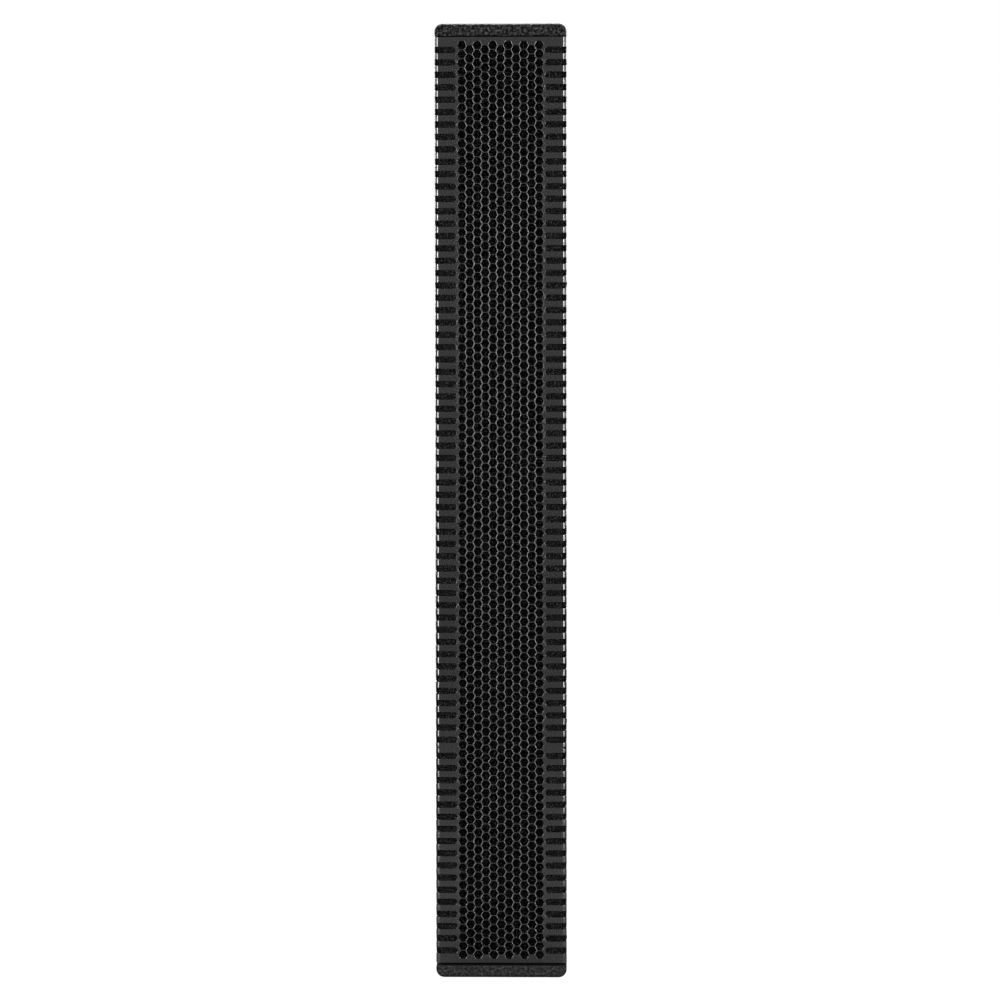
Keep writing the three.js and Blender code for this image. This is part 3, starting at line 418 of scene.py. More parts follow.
def piece(name, solid, material, node=None, body=CABINET, slot=None):
    """Makes one named object riding on a body, in place of a CAD node when one is given."""
    mesh = mesh_of(name, solid)
    mesh.polygons.foreach_set("use_smooth", [True] * len(mesh.polygons))
    mesh.set_sharp_from_angle(angle=SMOOTH_ANGLE)
    mesh.materials.append(material)
    made = show(name, mesh)
    made.modifiers.new("weighted_normals", "WEIGHTED_NORMAL").keep_sharp = True
    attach(made, body)
    if node:
        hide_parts(node)
    slot or SLOT_OF[material.name]
    return made


def bore(made, solid):
    """Cuts a solid out of a finished piece."""
    cutter = show("cutter", mesh_of("cutter", solid))
    cut = made.modifiers.new("bore", "BOOLEAN")
    cut.object = cutter
    cut.operation = "DIFFERENCE"
    made.modifiers.move(len(made.modifiers) - 1, 0)
    bpy.context.view_layer.update()
    evaluated = made.evaluated_get(bpy.context.evaluated_depsgraph_get())
    done = bpy.data.meshes.new_from_object(evaluated)
    made.modifiers.remove(cut)
    done.name = made.data.name
    made.data = done
    bpy.data.objects.remove(cutter)


# ---- Materials ----

class Surface:
    """A procedural material: texture features are sized in millimetres."""

    def __init__(self, name, slot=None, roughness=0.5, metallic=0.0, specular=0.5):
        self.material = bpy.data.materials.new(name)
        self.material.use_nodes = True
        SLOT_OF[self.material.name] = slot
        self.tree = self.material.node_tree
        self.shader = self.tree.nodes["Principled BSDF"]
        self.roughness(roughness)
        self.put("Metallic", metallic)
        self.put("Specular IOR Level", specular)
        self.coordinates = self.node("ShaderNodeTexCoord").outputs["Object"]
        self.normal = None

    def feed(self, target, name, value):
        socket = target.inputs[name]
        if isinstance(value, bpy.types.NodeSocket):
            self.tree.links.new(value, socket)
        else:
            socket.default_value = value

    def put(self, name, value):
        self.feed(self.shader, name, value)

    def node(self, kind, **inputs):
        made = self.tree.nodes.new(kind)
        for name, value in inputs.items():
            self.feed(made, name.replace("_", " "), value)
        return made

    def place(self, stretch):
        if not stretch:
            return self.coordinates
        return self.node("ShaderNodeMapping", Vector=self.coordinates, Scale=stretch).outputs[0]

    def noise(self, size_mm, detail=3.0, rough=0.55, stretch=None):
        return self.node("ShaderNodeTexNoise", Vector=self.place(stretch),
                         Scale=1 / (size_mm * MM), Detail=detail, Roughness=rough).outputs["Fac"]

    def cells(self, size_mm, feature="F1", stretch=None):
        made = self.node("ShaderNodeTexVoronoi", Vector=self.place(stretch),
                         Scale=1 / (size_mm * MM))
        made.feature = feature
        return made.outputs["Distance"]

    def along(self, vector, axis):
        return self.node("ShaderNodeSeparateXYZ", Vector=vector).outputs[axis]

    def ramp(self, value, stops):
        made = self.node("ShaderNodeValToRGB", Fac=value)
        band = made.color_ramp
        while len(band.elements) < len(stops):
            band.elements.new(0.5)
        for element, (position, colour) in zip(band.elements, stops):
            element.position = position
            element.color = (*colour, 1)
        return made.outputs["Color"]

    def shade(self, value, low, high, start=0.3, end=0.7):
        """Maps a texture value to a range of grey levels or roughnesses."""
        return self.node("ShaderNodeMapRange", Value=value, From_Min=start, From_Max=end,
                         To_Min=low, To_Max=high).outputs["Result"]

    def math(self, operation, a, b):
        made = self.node("ShaderNodeMath")
        made.operation = operation
        self.feed(made, 0, a)
        self.feed(made, 1, b)
        return made.outputs[0]

    def mix(self, factor, a, b):
        """Mixes two colours, each a socket or a tuple of three."""
        made = self.node("ShaderNodeMix")
        made.data_type = "RGBA"
        self.feed(made, 0, factor)
        for index, colour in ((6, a), (7, b)):
            self.feed(made, index, (*colour, 1) if isinstance(colour, tuple) else colour)
        return made.outputs[2]

    def colour(self, value):
        self.put("Base Color", value)

    def tint(self, texture, a, b):
        self.colour(self.mix(self.shade(texture, 0, 1), a, b))

    def roughness(self, value):
        self.put("Roughness", value)

    def gloss(self, texture, low, high):
        self.roughness(self.shade(texture, low, high))

    def bump(self, value, height_mm, strength=1.0):
        made = self.node("ShaderNodeBump", Height=value, Distance=height_mm * MM,
                         Strength=strength)
        if self.normal is not None:
            self.feed(made, "Normal", self.normal)
        self.normal = made.outputs["Normal"]
        self.put("Normal", self.normal)

    def wear(self, base, worn, amount):
        """Shows a second colour where edges are convex."""
        edge = self.node("ShaderNodeNewGeometry").outputs["Pointiness"]
        mask = self.math("MULTIPLY", self.shade(edge, 0.0, 1.0, 0.52, 0.6), self.noise(6.0))
        self.colour(self.mix(self.math("MULTIPLY", mask, amount * 2), base, worn))


def grey(level):
    return (level, level, level)


# Painted light on the bottom cap: a paler coating tone near the foot that stands in for its light;
# its share, and the levels in metres where it fades out.
FOOT_LIGHT_SHARE, FOOT_LIGHT_FULL_Z, FOOT_LIGHT_END_Z = 0.45, 0.0128, 0.0134


def make_coating():
    """Thick, rough black sprayed coating with raised grains, and painted light that makes it paler at
    the foot.
    """
    s = Surface("cabinet_coating", "cabinet_coating", specular=0.3)
    coarse = s.noise(2.7, detail=2.0, rough=0.6)
    fine = s.noise(1.2, detail=2.0, rough=0.6)
    tone = s.ramp(coarse, [(0.42, grey(0.004)), (0.50, grey(0.010)), (0.58, grey(0.026)),
                           (0.68, grey(0.058))])
    height = s.along(s.coordinates, "Z")
    # Painted light: the coating is mixed towards a paler grey near the foot, standing in for light on
    # the bottom cap.
    painted_foot_light = s.shade(height, FOOT_LIGHT_SHARE, 0.0, FOOT_LIGHT_FULL_Z, FOOT_LIGHT_END_Z)
    tone = s.mix(painted_foot_light, tone, grey(0.045))
    upward = s.along(s.node("ShaderNodeNewGeometry").outputs["True Normal"], "Z")
    dust = s.shade(upward, 0.0, 0.8, 0.2, 0.75)
    s.colour(s.mix(dust, tone, (0.024, 0.024, 0.0235)))
    s.put("Specular IOR Level", s.mix(dust, s.shade(coarse, 0.05, 0.6, 0.42, 0.6), grey(0.12)))
    s.roughness(s.mix(dust, s.shade(fine, 0.25, 0.6), grey(0.7)))
    s.bump(coarse, 1.3)
    s.bump(s.cells(2.4), 0.7)
    s.bump(fine, 0.5)
    return s.material


def make_powder_coat():
    """Dark grey satin powder coat on the grille sheet."""
    s = Surface("grille_powder_coat", "grille_powder_coat", specular=1.0)
    peel = s.noise(0.7, detail=2.0)
    s.tint(s.noise(28.0, detail=2.0), (0.0078, 0.0075, 0.0077), (0.0108, 0.0104, 0.0105))
    s.put("IOR", 1.9)
    s.gloss(peel, 0.23, 0.28)
    s.bump(peel, 0.012, 0.3)
    return s.material


def make_foam():
    """Open-cell black foam with painted shade, darker behind the holes, and painted light, paler
    where the side slots show it.
    """
    s = Surface("grille_foam", "grille_foam", roughness=1.0, specular=0.0)
    pores = s.cells(1.0)
    # Painted shade and light: the foam is painted darker behind the holes and paler behind the side
    # slots.
    painted_shade_foam = s.ramp(pores, [(0.3, grey(0.0002)), (0.62, grey(0.0009)), (0.9, grey(0.04))])
    painted_light_foam = s.ramp(pores, [(0.3, grey(0.003)), (0.62, grey(0.008)), (0.9, grey(0.09))])
    across = s.math("ABSOLUTE", s.along(s.coordinates, "X"), 0.0)
    s.colour(s.mix(s.shade(across, 0.0, 1.0, 0.0445, 0.0465), painted_shade_foam, painted_light_foam))
    s.bump(pores, 0.6, 0.9)
    s.bump(s.noise(2.2), 0.6, 0.6)
    return s.material


def make_sprayed_steel():
    """Black wrinkle paint on steel panels."""
    s = Surface("panel_paint", "panel_paint")
    s.wear((0.012, 0.012, 0.0125), (0.11, 0.11, 0.115), 0.25)
    s.gloss(s.noise(9.0), 0.42, 0.6)
    s.bump(s.cells(0.9, feature="SMOOTH_F1"), 0.12, 0.6)
    return s.material


def make_cast_paint():
    """Semi-matt black paint over a casting."""
    s = Surface("cast_paint", "cast_basket", metallic=0.2)
    s.wear((0.014, 0.014, 0.015), (0.12, 0.12, 0.12), 0.2)
    s.gloss(s.noise(6.0), 0.38, 0.55)
    s.bump(s.noise(0.9, detail=4.0), 0.15, 0.7)
    return s.material


def make_anodised():
    """Black anodised extrusion with fine drawing lines along its length."""
    s = Surface("anodised_extrusion", "heatsink", metallic=0.6)
    lines = s.noise(0.5, detail=2.0, stretch=(1.0, 1.0, 0.02))
    s.wear((0.014, 0.014, 0.016), (0.16, 0.16, 0.17), 0.25)
    s.gloss(lines, 0.32, 0.5)
    s.bump(lines, 0.05, 0.6)
    return s.material


def make_ferrite():
    """Sintered magnet: dark grey, dusty, with fine pits."""
    s = Surface("ferrite", "magnet_steel", metallic=0.1, specular=0.4)
    s.tint(s.noise(8.0), (0.025, 0.025, 0.027), (0.05, 0.05, 0.055))
    s.gloss(s.noise(3.0), 0.5, 0.75)
    s.bump(s.cells(0.7), 0.08, 0.5)
    return s.material


def make_paper():
    """Treated black paper pulp."""
    s = Surface("paper_pulp", "paper_cone", roughness=0.85, specular=0.2)
    fibres = s.noise(1.6, detail=5.0, stretch=(1.0, 3.0, 1.0))
    s.tint(fibres, (0.008, 0.008, 0.008), (0.022, 0.021, 0.02))
    s.bump(fibres, 0.25, 0.6)
    return s.material


def make_rubber(name, slot, low, high, grain, rough):
    s = Surface(name, slot, specular=0.35)
    texture = s.noise(grain)
    s.tint(s.noise(12.0), grey(low), grey(high))
    s.gloss(texture, rough - 0.08, rough + 0.1)
    s.bump(texture, grain * 0.12, 0.6)
    return s.material


def make_titanium():
    """Thin drawn metal with faint rings and heat tint."""
    s = Surface("titanium", "titanium_dome", metallic=1.0)
    s.tint(s.noise(14.0), (0.48, 0.47, 0.45), (0.58, 0.57, 0.56))
    s.gloss(s.noise(1.2, stretch=(1, 1, 6)), 0.2, 0.38)
    s.bump(s.noise(0.8), 0.02, 0.4)
    return s.material


def make_metal(name, dark, light, rough):
    """Plated steel with grain and small stains."""
    s = Surface(name, "zinc_steel", metallic=1.0)
    s.tint(s.noise(5.0, detail=4.0), dark, light)
    s.gloss(s.noise(1.5), rough - 0.08, rough + 0.12)
    s.bump(s.noise(0.5), 0.02, 0.5)
    return s.material


def make_plastic(name, slot, level, grain, rough):
    """Moulded plastic with a spark-eroded texture."""
    s = Surface(name, slot)
    s.tint(s.noise(16.0, detail=2.0), grey(level * 0.85), grey(level * 1.25))
    s.gloss(s.noise(4.0), rough - 0.06, rough + 0.08)
    s.bump(s.cells(grain), grain * 0.12, 0.5)
    return s.material


def make_print(name, slot, level):
    """Screen-printed ink."""
    s = Surface(name, slot, roughness=0.6, specular=0.3)
    ink = s.noise(0.6, detail=2.0)
    s.tint(ink, grey(level * 0.8), grey(level))
    s.bump(ink, 0.02, 0.5)
    return s.material


def make_lamp(name, colour, glow):
    """Frosted lens of a status lamp."""
    s = Surface(name, "socket_plastic", roughness=0.25, specular=0.6)
    frost = s.noise(0.5)
    s.tint(frost, tuple(c * 0.7 for c in colour), colour)
    s.put("Emission Color", (*colour, 1))
    s.put("Emission Strength", glow)
    s.bump(frost, 0.03, 0.4)
    return s.material


def make_solder_mask():
    """Green board with copper tracks showing through the mask."""
    s = Surface("solder_mask", specular=0.6)
    tracks = s.cells(6.0, stretch=(1.0, 1.0, 0.4))
    s.colour(s.ramp(tracks, [(0.35, (0.012, 0.06, 0.025)), (0.45, (0.03, 0.12, 0.05)),
                             (0.7, (0.015, 0.07, 0.03))]))
    s.gloss(s.noise(3.0), 0.28, 0.45)
    s.bump(tracks, 0.04, 0.6)
    return s.material


def make_wood(name, light, dark, rough):
    """Plywood: long grain with pores."""
    s = Surface(name, specular=0.3)
    grain = s.noise(3.0, detail=5.0, stretch=(0.3, 1.0, 1.0))
    s.colour(s.ramp(grain, [(0.35, dark), (0.65, light)]))
    s.gloss(grain, rough - 0.05, rough + 0.1)
    s.bump(grain, 0.12, 0.5)
    return s.material


def make_wadding():
    """Off-white polyester fibre."""
    s = Surface("wadding", "wadding", roughness=1.0, specular=0.05)
    tufts = s.noise(5.0, detail=6.0, rough=0.7)
    s.colour(s.ramp(tufts, [(0.3, (0.22, 0.215, 0.2)), (0.7, (0.5, 0.49, 0.46))]))
    s.put("Sheen Weight", 0.5)
    s.bump(tufts, 1.6, 0.9)
    return s.material


COATING = make_coating()
POWDER_COAT = make_powder_coat()
FOAM = make_foam()
SPRAYED_STEEL = make_sprayed_steel()
CAST_PAINT = make_cast_paint()
FERRITE = make_ferrite()
PAPER = make_paper()
SURROUND = make_rubber("surround_rubber", "paper_cone", 0.008, 0.014, 0.8, 0.5)
RUBBER = make_rubber("grip_rubber", "grip_rubber", 0.009, 0.018, 1.0, 0.7)
JACKET = make_rubber("cable_jacket", "cable_jacket", 0.008, 0.013, 0.6, 0.45)
TITANIUM = make_titanium()
ZINC = make_metal("zinc_plate", (0.42, 0.42, 0.4), (0.6, 0.6, 0.58), 0.32)
BLACK_ZINC = make_metal("black_zinc", (0.03, 0.03, 0.032), (0.075, 0.075, 0.08), 0.36)
GOLD = make_metal("gold_plate", (0.62, 0.42, 0.16), (0.75, 0.52, 0.22), 0.3)
MOULDED = make_plastic("moulded_plastic", "moulded_plastic", 0.013, 0.7, 0.45)
SOCKET_PLASTIC = make_plastic("socket_plastic", "socket_plastic", 0.011, 0.5, 0.34)
GREY_PLASTIC = make_plastic("grey_plastic", "socket_plastic", 0.09, 0.5, 0.4)
WHITE_PRINT = make_print("white_print", "socket_plastic", 0.72)
GREY_PRINT = make_print("grey_print", "panel_paint", 0.2)
LAMPS = {
    "signal": make_lamp("green_lamp", (0.08, 0.6, 0.15), 0.6),
    "limit": make_lamp("amber_lamp", (0.5, 0.16, 0.02), 0.05),
    "ready": make_lamp("white_lamp", (0.6, 0.65, 0.7), 0.6),
}
SOLDER_MASK = make_solder_mask()
ANODISED = make_anodised()
BIRCH = make_wood("birch_plywood", (0.5, 0.33, 0.17), (0.36, 0.21, 0.1), 0.6)
BLACK_STAIN = make_wood("black_stain", grey(0.008), grey(0.004), 0.75)
WADDING = make_wadding()


# ---- Front grille: one perforated, folded sheet ----

SHEET = 1.2
SHEET_ROUND = 0.3
SHEET_PROUD = 0.69
BEND_RADIUS = 4.2
BEND_STEPS = 10

HOLE_ROW_PITCH = 9.26
HOLE_COLUMN_PITCH = 8.07
HOLE_FLATS = 8.2
HOLE_CORNER_CUT = 0.5
HOLE_COLUMNS = 11
HOLE_ROWS = 104
TOP_HOLE_Z = 977.74

SLOT_PITCH = 12.873
SLOT_HEIGHT = 6.5
SLOT_CORNER = 3.0
SLOT_INNER_U = 46.35
SLOT_MIDDLE_U = 56.0
SLOT_ON_RETURN = 3.8
TOP_SLOT_Z = 972.55
SLOTS_ABOVE_WIDE_RIB = 57
SLOTS_BELOW_WIDE_RIB = 17
WIDE_RIB_EXTRA = 0.3225
NOTCH_HEIGHT = 1.4
NOTCH_INNER_U = 64.9

SHEET_LOW, SHEET_HIGH = box_mm("front_grille")
BEND_START = SHEET_HIGH.x + SHEET_PROUD - BEND_RADIUS
BEND_LENGTH = BEND_RADIUS * math.pi / 2
SHEET_END = BEND_START + BEND_LENGTH + (SHEET_HIGH.y - SHEET_LOW.y - BEND_RADIUS)
SLOT_END = BEND_START + BEND_LENGTH + SLOT_ON_RETURN
SLOT_HALF_FLAT = SLOT_HEIGHT / 2 - SLOT_CORNER


def add_hexagonal_cell(mesh, cu, cv):
    """One hole and the half-bars round it."""
    cell = hexagon(cu, cv, HOLE_COLUMN_PITCH * 2 / 3, HOLE_ROW_PITCH / 2)
    hole = [Vector(p) for p in hexagon(cu, cv, HOLE_FLATS / math.sqrt(3), HOLE_FLATS / 2)]
    before, after = [], []
    for k, corner in enumerate(hole):
        before.append(corner + (hole[k - 1] - corner).normalized() * HOLE_CORNER_CUT)
        after.append(corner + (hole[(k + 1) % 6] - corner).normalized() * HOLE_CORNER_CUT)
    for k in range(6):
        following = (k + 1) % 6
        mesh.face(cell[k], cell[following], before[following], after[k])
        mesh.face(cell[k], after[k], before[k])


def hole_field_edge(side):
    """Upper or lower outline of the field of holes, from left to right."""
    last = TOP_HOLE_Z - (0 if side > 0 else (HOLE_ROWS - 1) * HOLE_ROW_PITCH)
    outer = last + side * HOLE_ROW_PITCH / 2
    chain = []
    for column in range(HOLE_COLUMNS):
        u = (column - HOLE_COLUMNS // 2) * HOLE_COLUMN_PITCH
        v = outer if column % 2 == 0 else outer - side * HOLE_ROW_PITCH / 2
        chain += [(u - HOLE_COLUMN_PITCH / 3, v), (u + HOLE_COLUMN_PITCH / 3, v)]
    return chain


def hole_field_side():
    """Zigzag edge of the outermost column of holes, from the bottom up."""
    field_u = HOLE_COLUMNS // 2 * HOLE_COLUMN_PITCH
    inner_u, outer_u = field_u + HOLE_COLUMN_PITCH / 3, field_u + HOLE_COLUMN_PITCH * 2 / 3
    zigzag = [(inner_u, SHEET_LOW.z)]
    for row in reversed(range(HOLE_ROWS)):
        v = TOP_HOLE_Z - row * HOLE_ROW_PITCH
        zigzag += [(inner_u, v - HOLE_ROW_PITCH / 2), (outer_u, v)]
    return zigzag + [(inner_u, TOP_HOLE_Z + HOLE_ROW_PITCH / 2), (inner_u, SHEET_HIGH.z)]


def add_hole_field(mesh):
    """The hexagonal holes, and the plain sheet above and below them."""
    for column in range(HOLE_COLUMNS):
        shorter = column % 2
        for row in range(HOLE_ROWS - shorter):
            v = TOP_HOLE_Z - (row + shorter / 2) * HOLE_ROW_PITCH
            add_hexagonal_cell(mesh, (column - HOLE_COLUMNS // 2) * HOLE_COLUMN_PITCH, v)
    top, bottom = hole_field_edge(1), hole_field_edge(-1)
    zip_chains(mesh, [(u, SHEET_HIGH.z) for u, _ in top], top)
    zip_chains(mesh, bottom, [(u, SHEET_LOW.z) for u, _ in bottom])


def slot_stations():
    """Positions across the slots, each with half the slot's height there."""
    steps = [(SLOT_CORNER * (1 - math.cos(t)), SLOT_HALF_FLAT + SLOT_CORNER * math.sin(t))
             for t in quarter(4)]
    bend = [BEND_START + BEND_LENGTH * i / BEND_STEPS for i in range(BEND_STEPS + 1)]
    stations = [(SLOT_INNER_U + step, half) for step, half in steps]
    stations += [(u, SLOT_HALF_FLAT + SLOT_CORNER)
                 for u in sorted([SLOT_MIDDLE_U, NOTCH_INNER_U, *bend])]
    return stations + [(SLOT_END - step, half) for step, half in reversed(steps)]


def slot_ribs():
    """Ribs between the slots, and the levels where the plain sheet beside them is divided.

    A rib is (lower edge, side, upper edge, side, reach). A side of 1 or -1 is the edge of a slot
    above or below its centre, and 0 is a level.
    """
    centres = [
        TOP_SLOT_Z - (i + (0 if i < SLOTS_ABOVE_WIDE_RIB else WIDE_RIB_EXTRA)) * SLOT_PITCH
        for i in range(SLOTS_ABOVE_WIDE_RIB + SLOTS_BELOW_WIDE_RIB)
    ]
    wide = SLOTS_ABOVE_WIDE_RIB - 1
    wide_rib = (centres[wide] + centres[wide + 1]) / 2
    notch = (wide_rib - NOTCH_HEIGHT / 2, wide_rib + NOTCH_HEIGHT / 2)
    ribs = [(centres[0], 1, SHEET_HIGH.z, 0, SHEET_END)]
    for i, (above, below) in enumerate(zip(centres, centres[1:])):
        if i == wide:
            ribs += [(below, 1, notch[0], 0, SHEET_END), (notch[0], 0, notch[1], 0, NOTCH_INNER_U),
                     (notch[1], 0, above, -1, SHEET_END)]
        else:
            ribs.append((below, 1, above, -1, SHEET_END))
    ribs.append((SHEET_LOW.z, 0, centres[-1], -1, SHEET_END))
    levels = {SHEET_LOW.z, SHEET_HIGH.z, *notch}
    for centre in centres:
        levels |= {centre - SLOT_HALF_FLAT, centre + SLOT_HALF_FLAT}
    return ribs, sorted(levels)


def fold(u, v, depth):
    """Wraps the flat pattern round the two bends."""
    reach = np.abs(u)
    angle = np.clip((reach - BEND_START) / BEND_RADIUS, 0, math.pi / 2)
    past = np.maximum(reach - BEND_START - BEND_LENGTH, 0)
    radius = BEND_RADIUS - depth
    x = np.minimum(reach, BEND_START) + radius * np.sin(angle)
    y = SHEET_LOW.y + BEND_RADIUS - radius * np.cos(angle) + past
    return np.stack([np.sign(u) * x, y, v], axis=1)


def add_mirrored(mesh, side, *corners):
    """Adds a face drawn on the right half, or its mirror image when the side is -1."""
    mesh.face(*((side * u, v) for u, v in corners), flip=side < 0)


def build_grille():
    mesh = FlatMesh()
    add_hole_field(mesh)
    stations = slot_stations()
    ribs, levels = slot_ribs()
    band = flat_plate([(SLOT_INNER_U, v) for v in levels] + hole_field_side()[::-1])
    for side in SIDES:
        for face in band.faces:
            add_mirrored(mesh, side, *(band.points[i] for i in face))
        for lower, lower_side, upper, upper_side, reach in ribs:
            for (u0, half0), (u1, half1) in zip(stations, stations[1:]):
                if u1 > reach + 0.01:
                    break
                add_mirrored(mesh, side, (u0, lower + lower_side * half0),
                             (u1, lower + lower_side * half1), (u1, upper + upper_side * half1),
                             (u0, upper + upper_side * half0))
        for v0, v1 in zip(levels, levels[1:]):
            add_mirrored(mesh, side, (SLOT_END, v0), (SHEET_END, v0), (SHEET_END, v1),
                         (SLOT_END, v1))
    piece("front_grille_sheet", thicken(mesh, fold, SHEET, SHEET_ROUND), POWDER_COAT,
          "front_grille")


# ---- Foam behind the grille ----

FOAM_STEP = 1.7
FOAM_GAP = 0.35
FOAM_RELIEF = 0.45


def build_foam():
    rear = box_mm("grille_foam")[1].y
    corner = BEND_RADIUS - SHEET - FOAM_GAP
    half = SHEET_HIGH.x - SHEET - FOAM_GAP
    front = SHEET_LOW.y + SHEET + FOAM_GAP
    width = 2 * (half - corner)
    across = round(width / FOAM_STEP)
    section = arc(-half + corner, front + corner, corner, 180, 270, 4)
    section += [(-half + corner + width * i / across, front) for i in range(1, across)]
    section += arc(half - corner, front + corner, corner, 270, 360, 4)
    sides = [(half, y) for y in np.arange(front + corner + FOAM_STEP, rear, FOAM_STEP)]
    section += sides + [(half, rear), (-half, rear)] + [(-x, y) for x, y in reversed(sides)]
    rows = round((SHEET_HIGH.z - SHEET_LOW.z) / FOAM_STEP)
    levels = [SHEET_LOW.z + (SHEET_HIGH.z - SHEET_LOW.z) * row / rows for row in range(rows + 1)]

    def depth_at(place):
        flat_back = place.y > rear - 0.1
        return 0.0 if flat_back else skin_depth(FOAM_RELIEF, place * 0.45, place * 1.1)

    piece("foam_liner", padded(section, levels, depth_at), FOAM, "grille_foam")


# ---- Cabinet boards ----

CAP_CORNER = 8.5
CAP_ROUND = 3.6
CAP_INNER_ROUND = 1.5
TRAY = {"x": 48, "low": 98, "high": 412}
TRAY_MIDDLE = (TRAY["low"] + TRAY["high"]) / 2
TRAY_HALF = (TRAY["high"] - TRAY["low"]) / 2
CUP = {"x": 42, "z": 535, "half": 55}
RIGGING_Z = (53, 947)
RIGGING_HOLE_X = 30
POLE_CENTRE = (0, 12 + SHIFT_Y)


def cap_solid(node, up):
    """End board: large rounding on its outer edges, small on the edge next to the grille."""
    low, high = box_mm(node)
    inner, outer = (low.z, high.z) if up > 0 else (high.z, low.z)
    small, big = CAP_INNER_ROUND, CAP_CORNER
    right = arc(high.x - small, inner + up * small, small, -90 * up, 0, 3)
    right += arc(high.x - big, outer - up * big, big, 0, 90 * up, 9)
    outline = right + [(-x, z) for x, z in reversed(right)]
    if up < 0:
        outline = outline[::-1]
    shares = [min(1.0, max(0.0, (up * (z - inner) - 0.2) / 4.0)) for _, z in outline]
    radii = [small + (CAP_ROUND - small) * share for share in shares]
    return prism(outline, "Y", low.y, high.y, np.array(radii), steps=5)


def side_panel(side):
    """Side board, cut back at its front edge for the grille's return."""
    low, high = box_mm("right_side_panel")
    rebate_x, rebate_y = high.x - 2.1, low.y + 11.5
    outline = [(low.x, low.y), (rebate_x, low.y), (rebate_x, rebate_y), (high.x, rebate_y)]
    outline += arc(high.x - CAP_CORNER, high.y - CAP_CORNER, CAP_CORNER, 0, 90, 8)
    outline.append((low.x, high.y))
    if side < 0:
        outline = [(-x, y) for x, y in reversed(outline)]
    return prism(outline, "Z", low.z, high.z, 0.5, steps=2)


def rear_panel():
    low, high = box_mm("rear_panel")
    holes = [
        rounded_rectangle(0, TRAY_MIDDLE, TRAY["x"] + 2, TRAY_HALF + 2, 3),
        rounded_rectangle(0, CUP["z"], CUP["x"] + 2.8, CUP["half"] + 2.8, 10),
    ]
    holes += [circle(side * RIGGING_HOLE_X, z, 5.2, 24) for z in RIGGING_Z for side in SIDES]
    outer = rounded_rectangle(0, 500, high.x, (high.z - low.z) / 2, 0.5, 2)
    return thicken(flat_plate(outer, holes), facing_rear(high.y), high.y - low.y, 0.6)


def build_boards():
    top = piece("top_panel_board", cap_solid("top_panel", 1), COATING, "top_panel")
    bore(top, lathe([(0, 980), (9.3, 980), (9.3, 1005), (0, 1005)], (0, SHIFT_Y), "Z"))
    bottom = piece("bottom_panel_board", cap_solid("bottom_panel", -1), COATING, "bottom_panel")
    socket = [(0, -5), (31.3, -5), (31.3, 3.8), (20.3, 3.8), (20.3, 30), (0, 30)]
    bore(bottom, lathe(socket, POLE_CENTRE, "Z"))
    for side, name in zip(SIDES, ("left", "right")):
        piece(f"{name}_side_board", side_panel(side), COATING, f"{name}_side_panel")
    piece("rear_board", rear_panel(), COATING, "rear_panel")


# ---- Woofers and high-frequency section ----

WOOFER_Z = (74, 182, 290, 710, 818, 926)
WOOFER_SCREW_CIRCLE = 47.5
HF_Z = {"lower": 450, "upper": 550}


def half_roll(inner, outer, y, rise, steps=8):
    """Points over a half-round roll between two radii, standing out towards the front."""
    middle, half = (inner + outer) / 2, (outer - inner) / 2
    turns = [math.pi * i / steps for i in range(steps + 1)]
    return [(middle - half * math.cos(t), y - rise * math.sin(t)) for t in turns]


def basket_arm(z, turn):
    """One arm of the basket, as (radius, depth, half width, thickness) sections."""
    rings = []
    for radius, y, half_width, thick in ((43.2, -60, 6.5, 2.0), (41.0, -54, 5.0, 1.8),
                                         (35.6, -42.5, 4.6, 1.8)):
        ring = []
        for du, dr in ((-1, -1), (1, -1), (1, 1), (-1, 1)):
            r, w = radius + dr * thick / 2, du * half_width
            ring.append((r * math.cos(turn) - w * math.sin(turn), y + SHIFT_Y,
                         z + r * math.sin(turn) + w * math.cos(turn)))
        rings.append(ring)
    return loft(rings)


def build_woofer_frame(name, z):
    flange = [(41.5, -72.7), (43, -72.7), (50.0, -72.7), (50.5, -72.2), (50.5, -70.0),
              (50.2, -69.8), (45.5, -69.8), (45.2, -66.5), (41.5, -66.5)]
    cage = [(45.3, -67), (45.3, -58), (44.6, -55.5), (42.0, -55.5), (41.6, -57), (41.5, -67)]
    seat = [(36.5, -44), (36.0, -38.9), (35.4, -38.3), (24, -38.3), (24, -41.5), (33, -41.5),
            (34.4, -44)]
    arms = [basket_arm(z, turn) for turn in around(6, 0.5)]
    basket = combine(*(lathe_at(part, 0, z, 72) for part in (flange, cage, seat)), *arms)
    piece(f"{name}_frame", basket, CAST_PAINT, f"{name}_basket")
    screws = [pan_head(WOOFER_SCREW_CIRCLE * math.cos(t), z + WOOFER_SCREW_CIRCLE * math.sin(t),
                       2.6, facing(1, -1, -74.0 + SHIFT_Y), 1.4) for t in around(4, 0.5)]
    piece(f"{name}_frame_screws", combine(*screws), BLACK_ZINC)


def build_woofer_motor(name, z):
    magnet = [(20, -34), (34.6, -34), (35, -33.6), (35, -18.2), (34.6, -17.8), (20, -17.8)]
    piece(f"{name}_magnet", lathe_at(magnet, 0, z, 64), FERRITE, f"{name}_motor")
    front_plate = [(14, -37.7), (33.5, -37.7), (34, -37.2), (34, -34.1), (14, -34.1)]
    pole_plate = [(0, -36), (11.3, -36), (11.8, -35.5), (11.8, -17.7), (34, -17.7), (34, -13),
                  (33, -12), (0, -12)]
    plates = combine(lathe_at(front_plate, 0, z, 64), lathe_at(pole_plate, 0, z, 64))
    piece(f"{name}_plates", plates, ZINC)


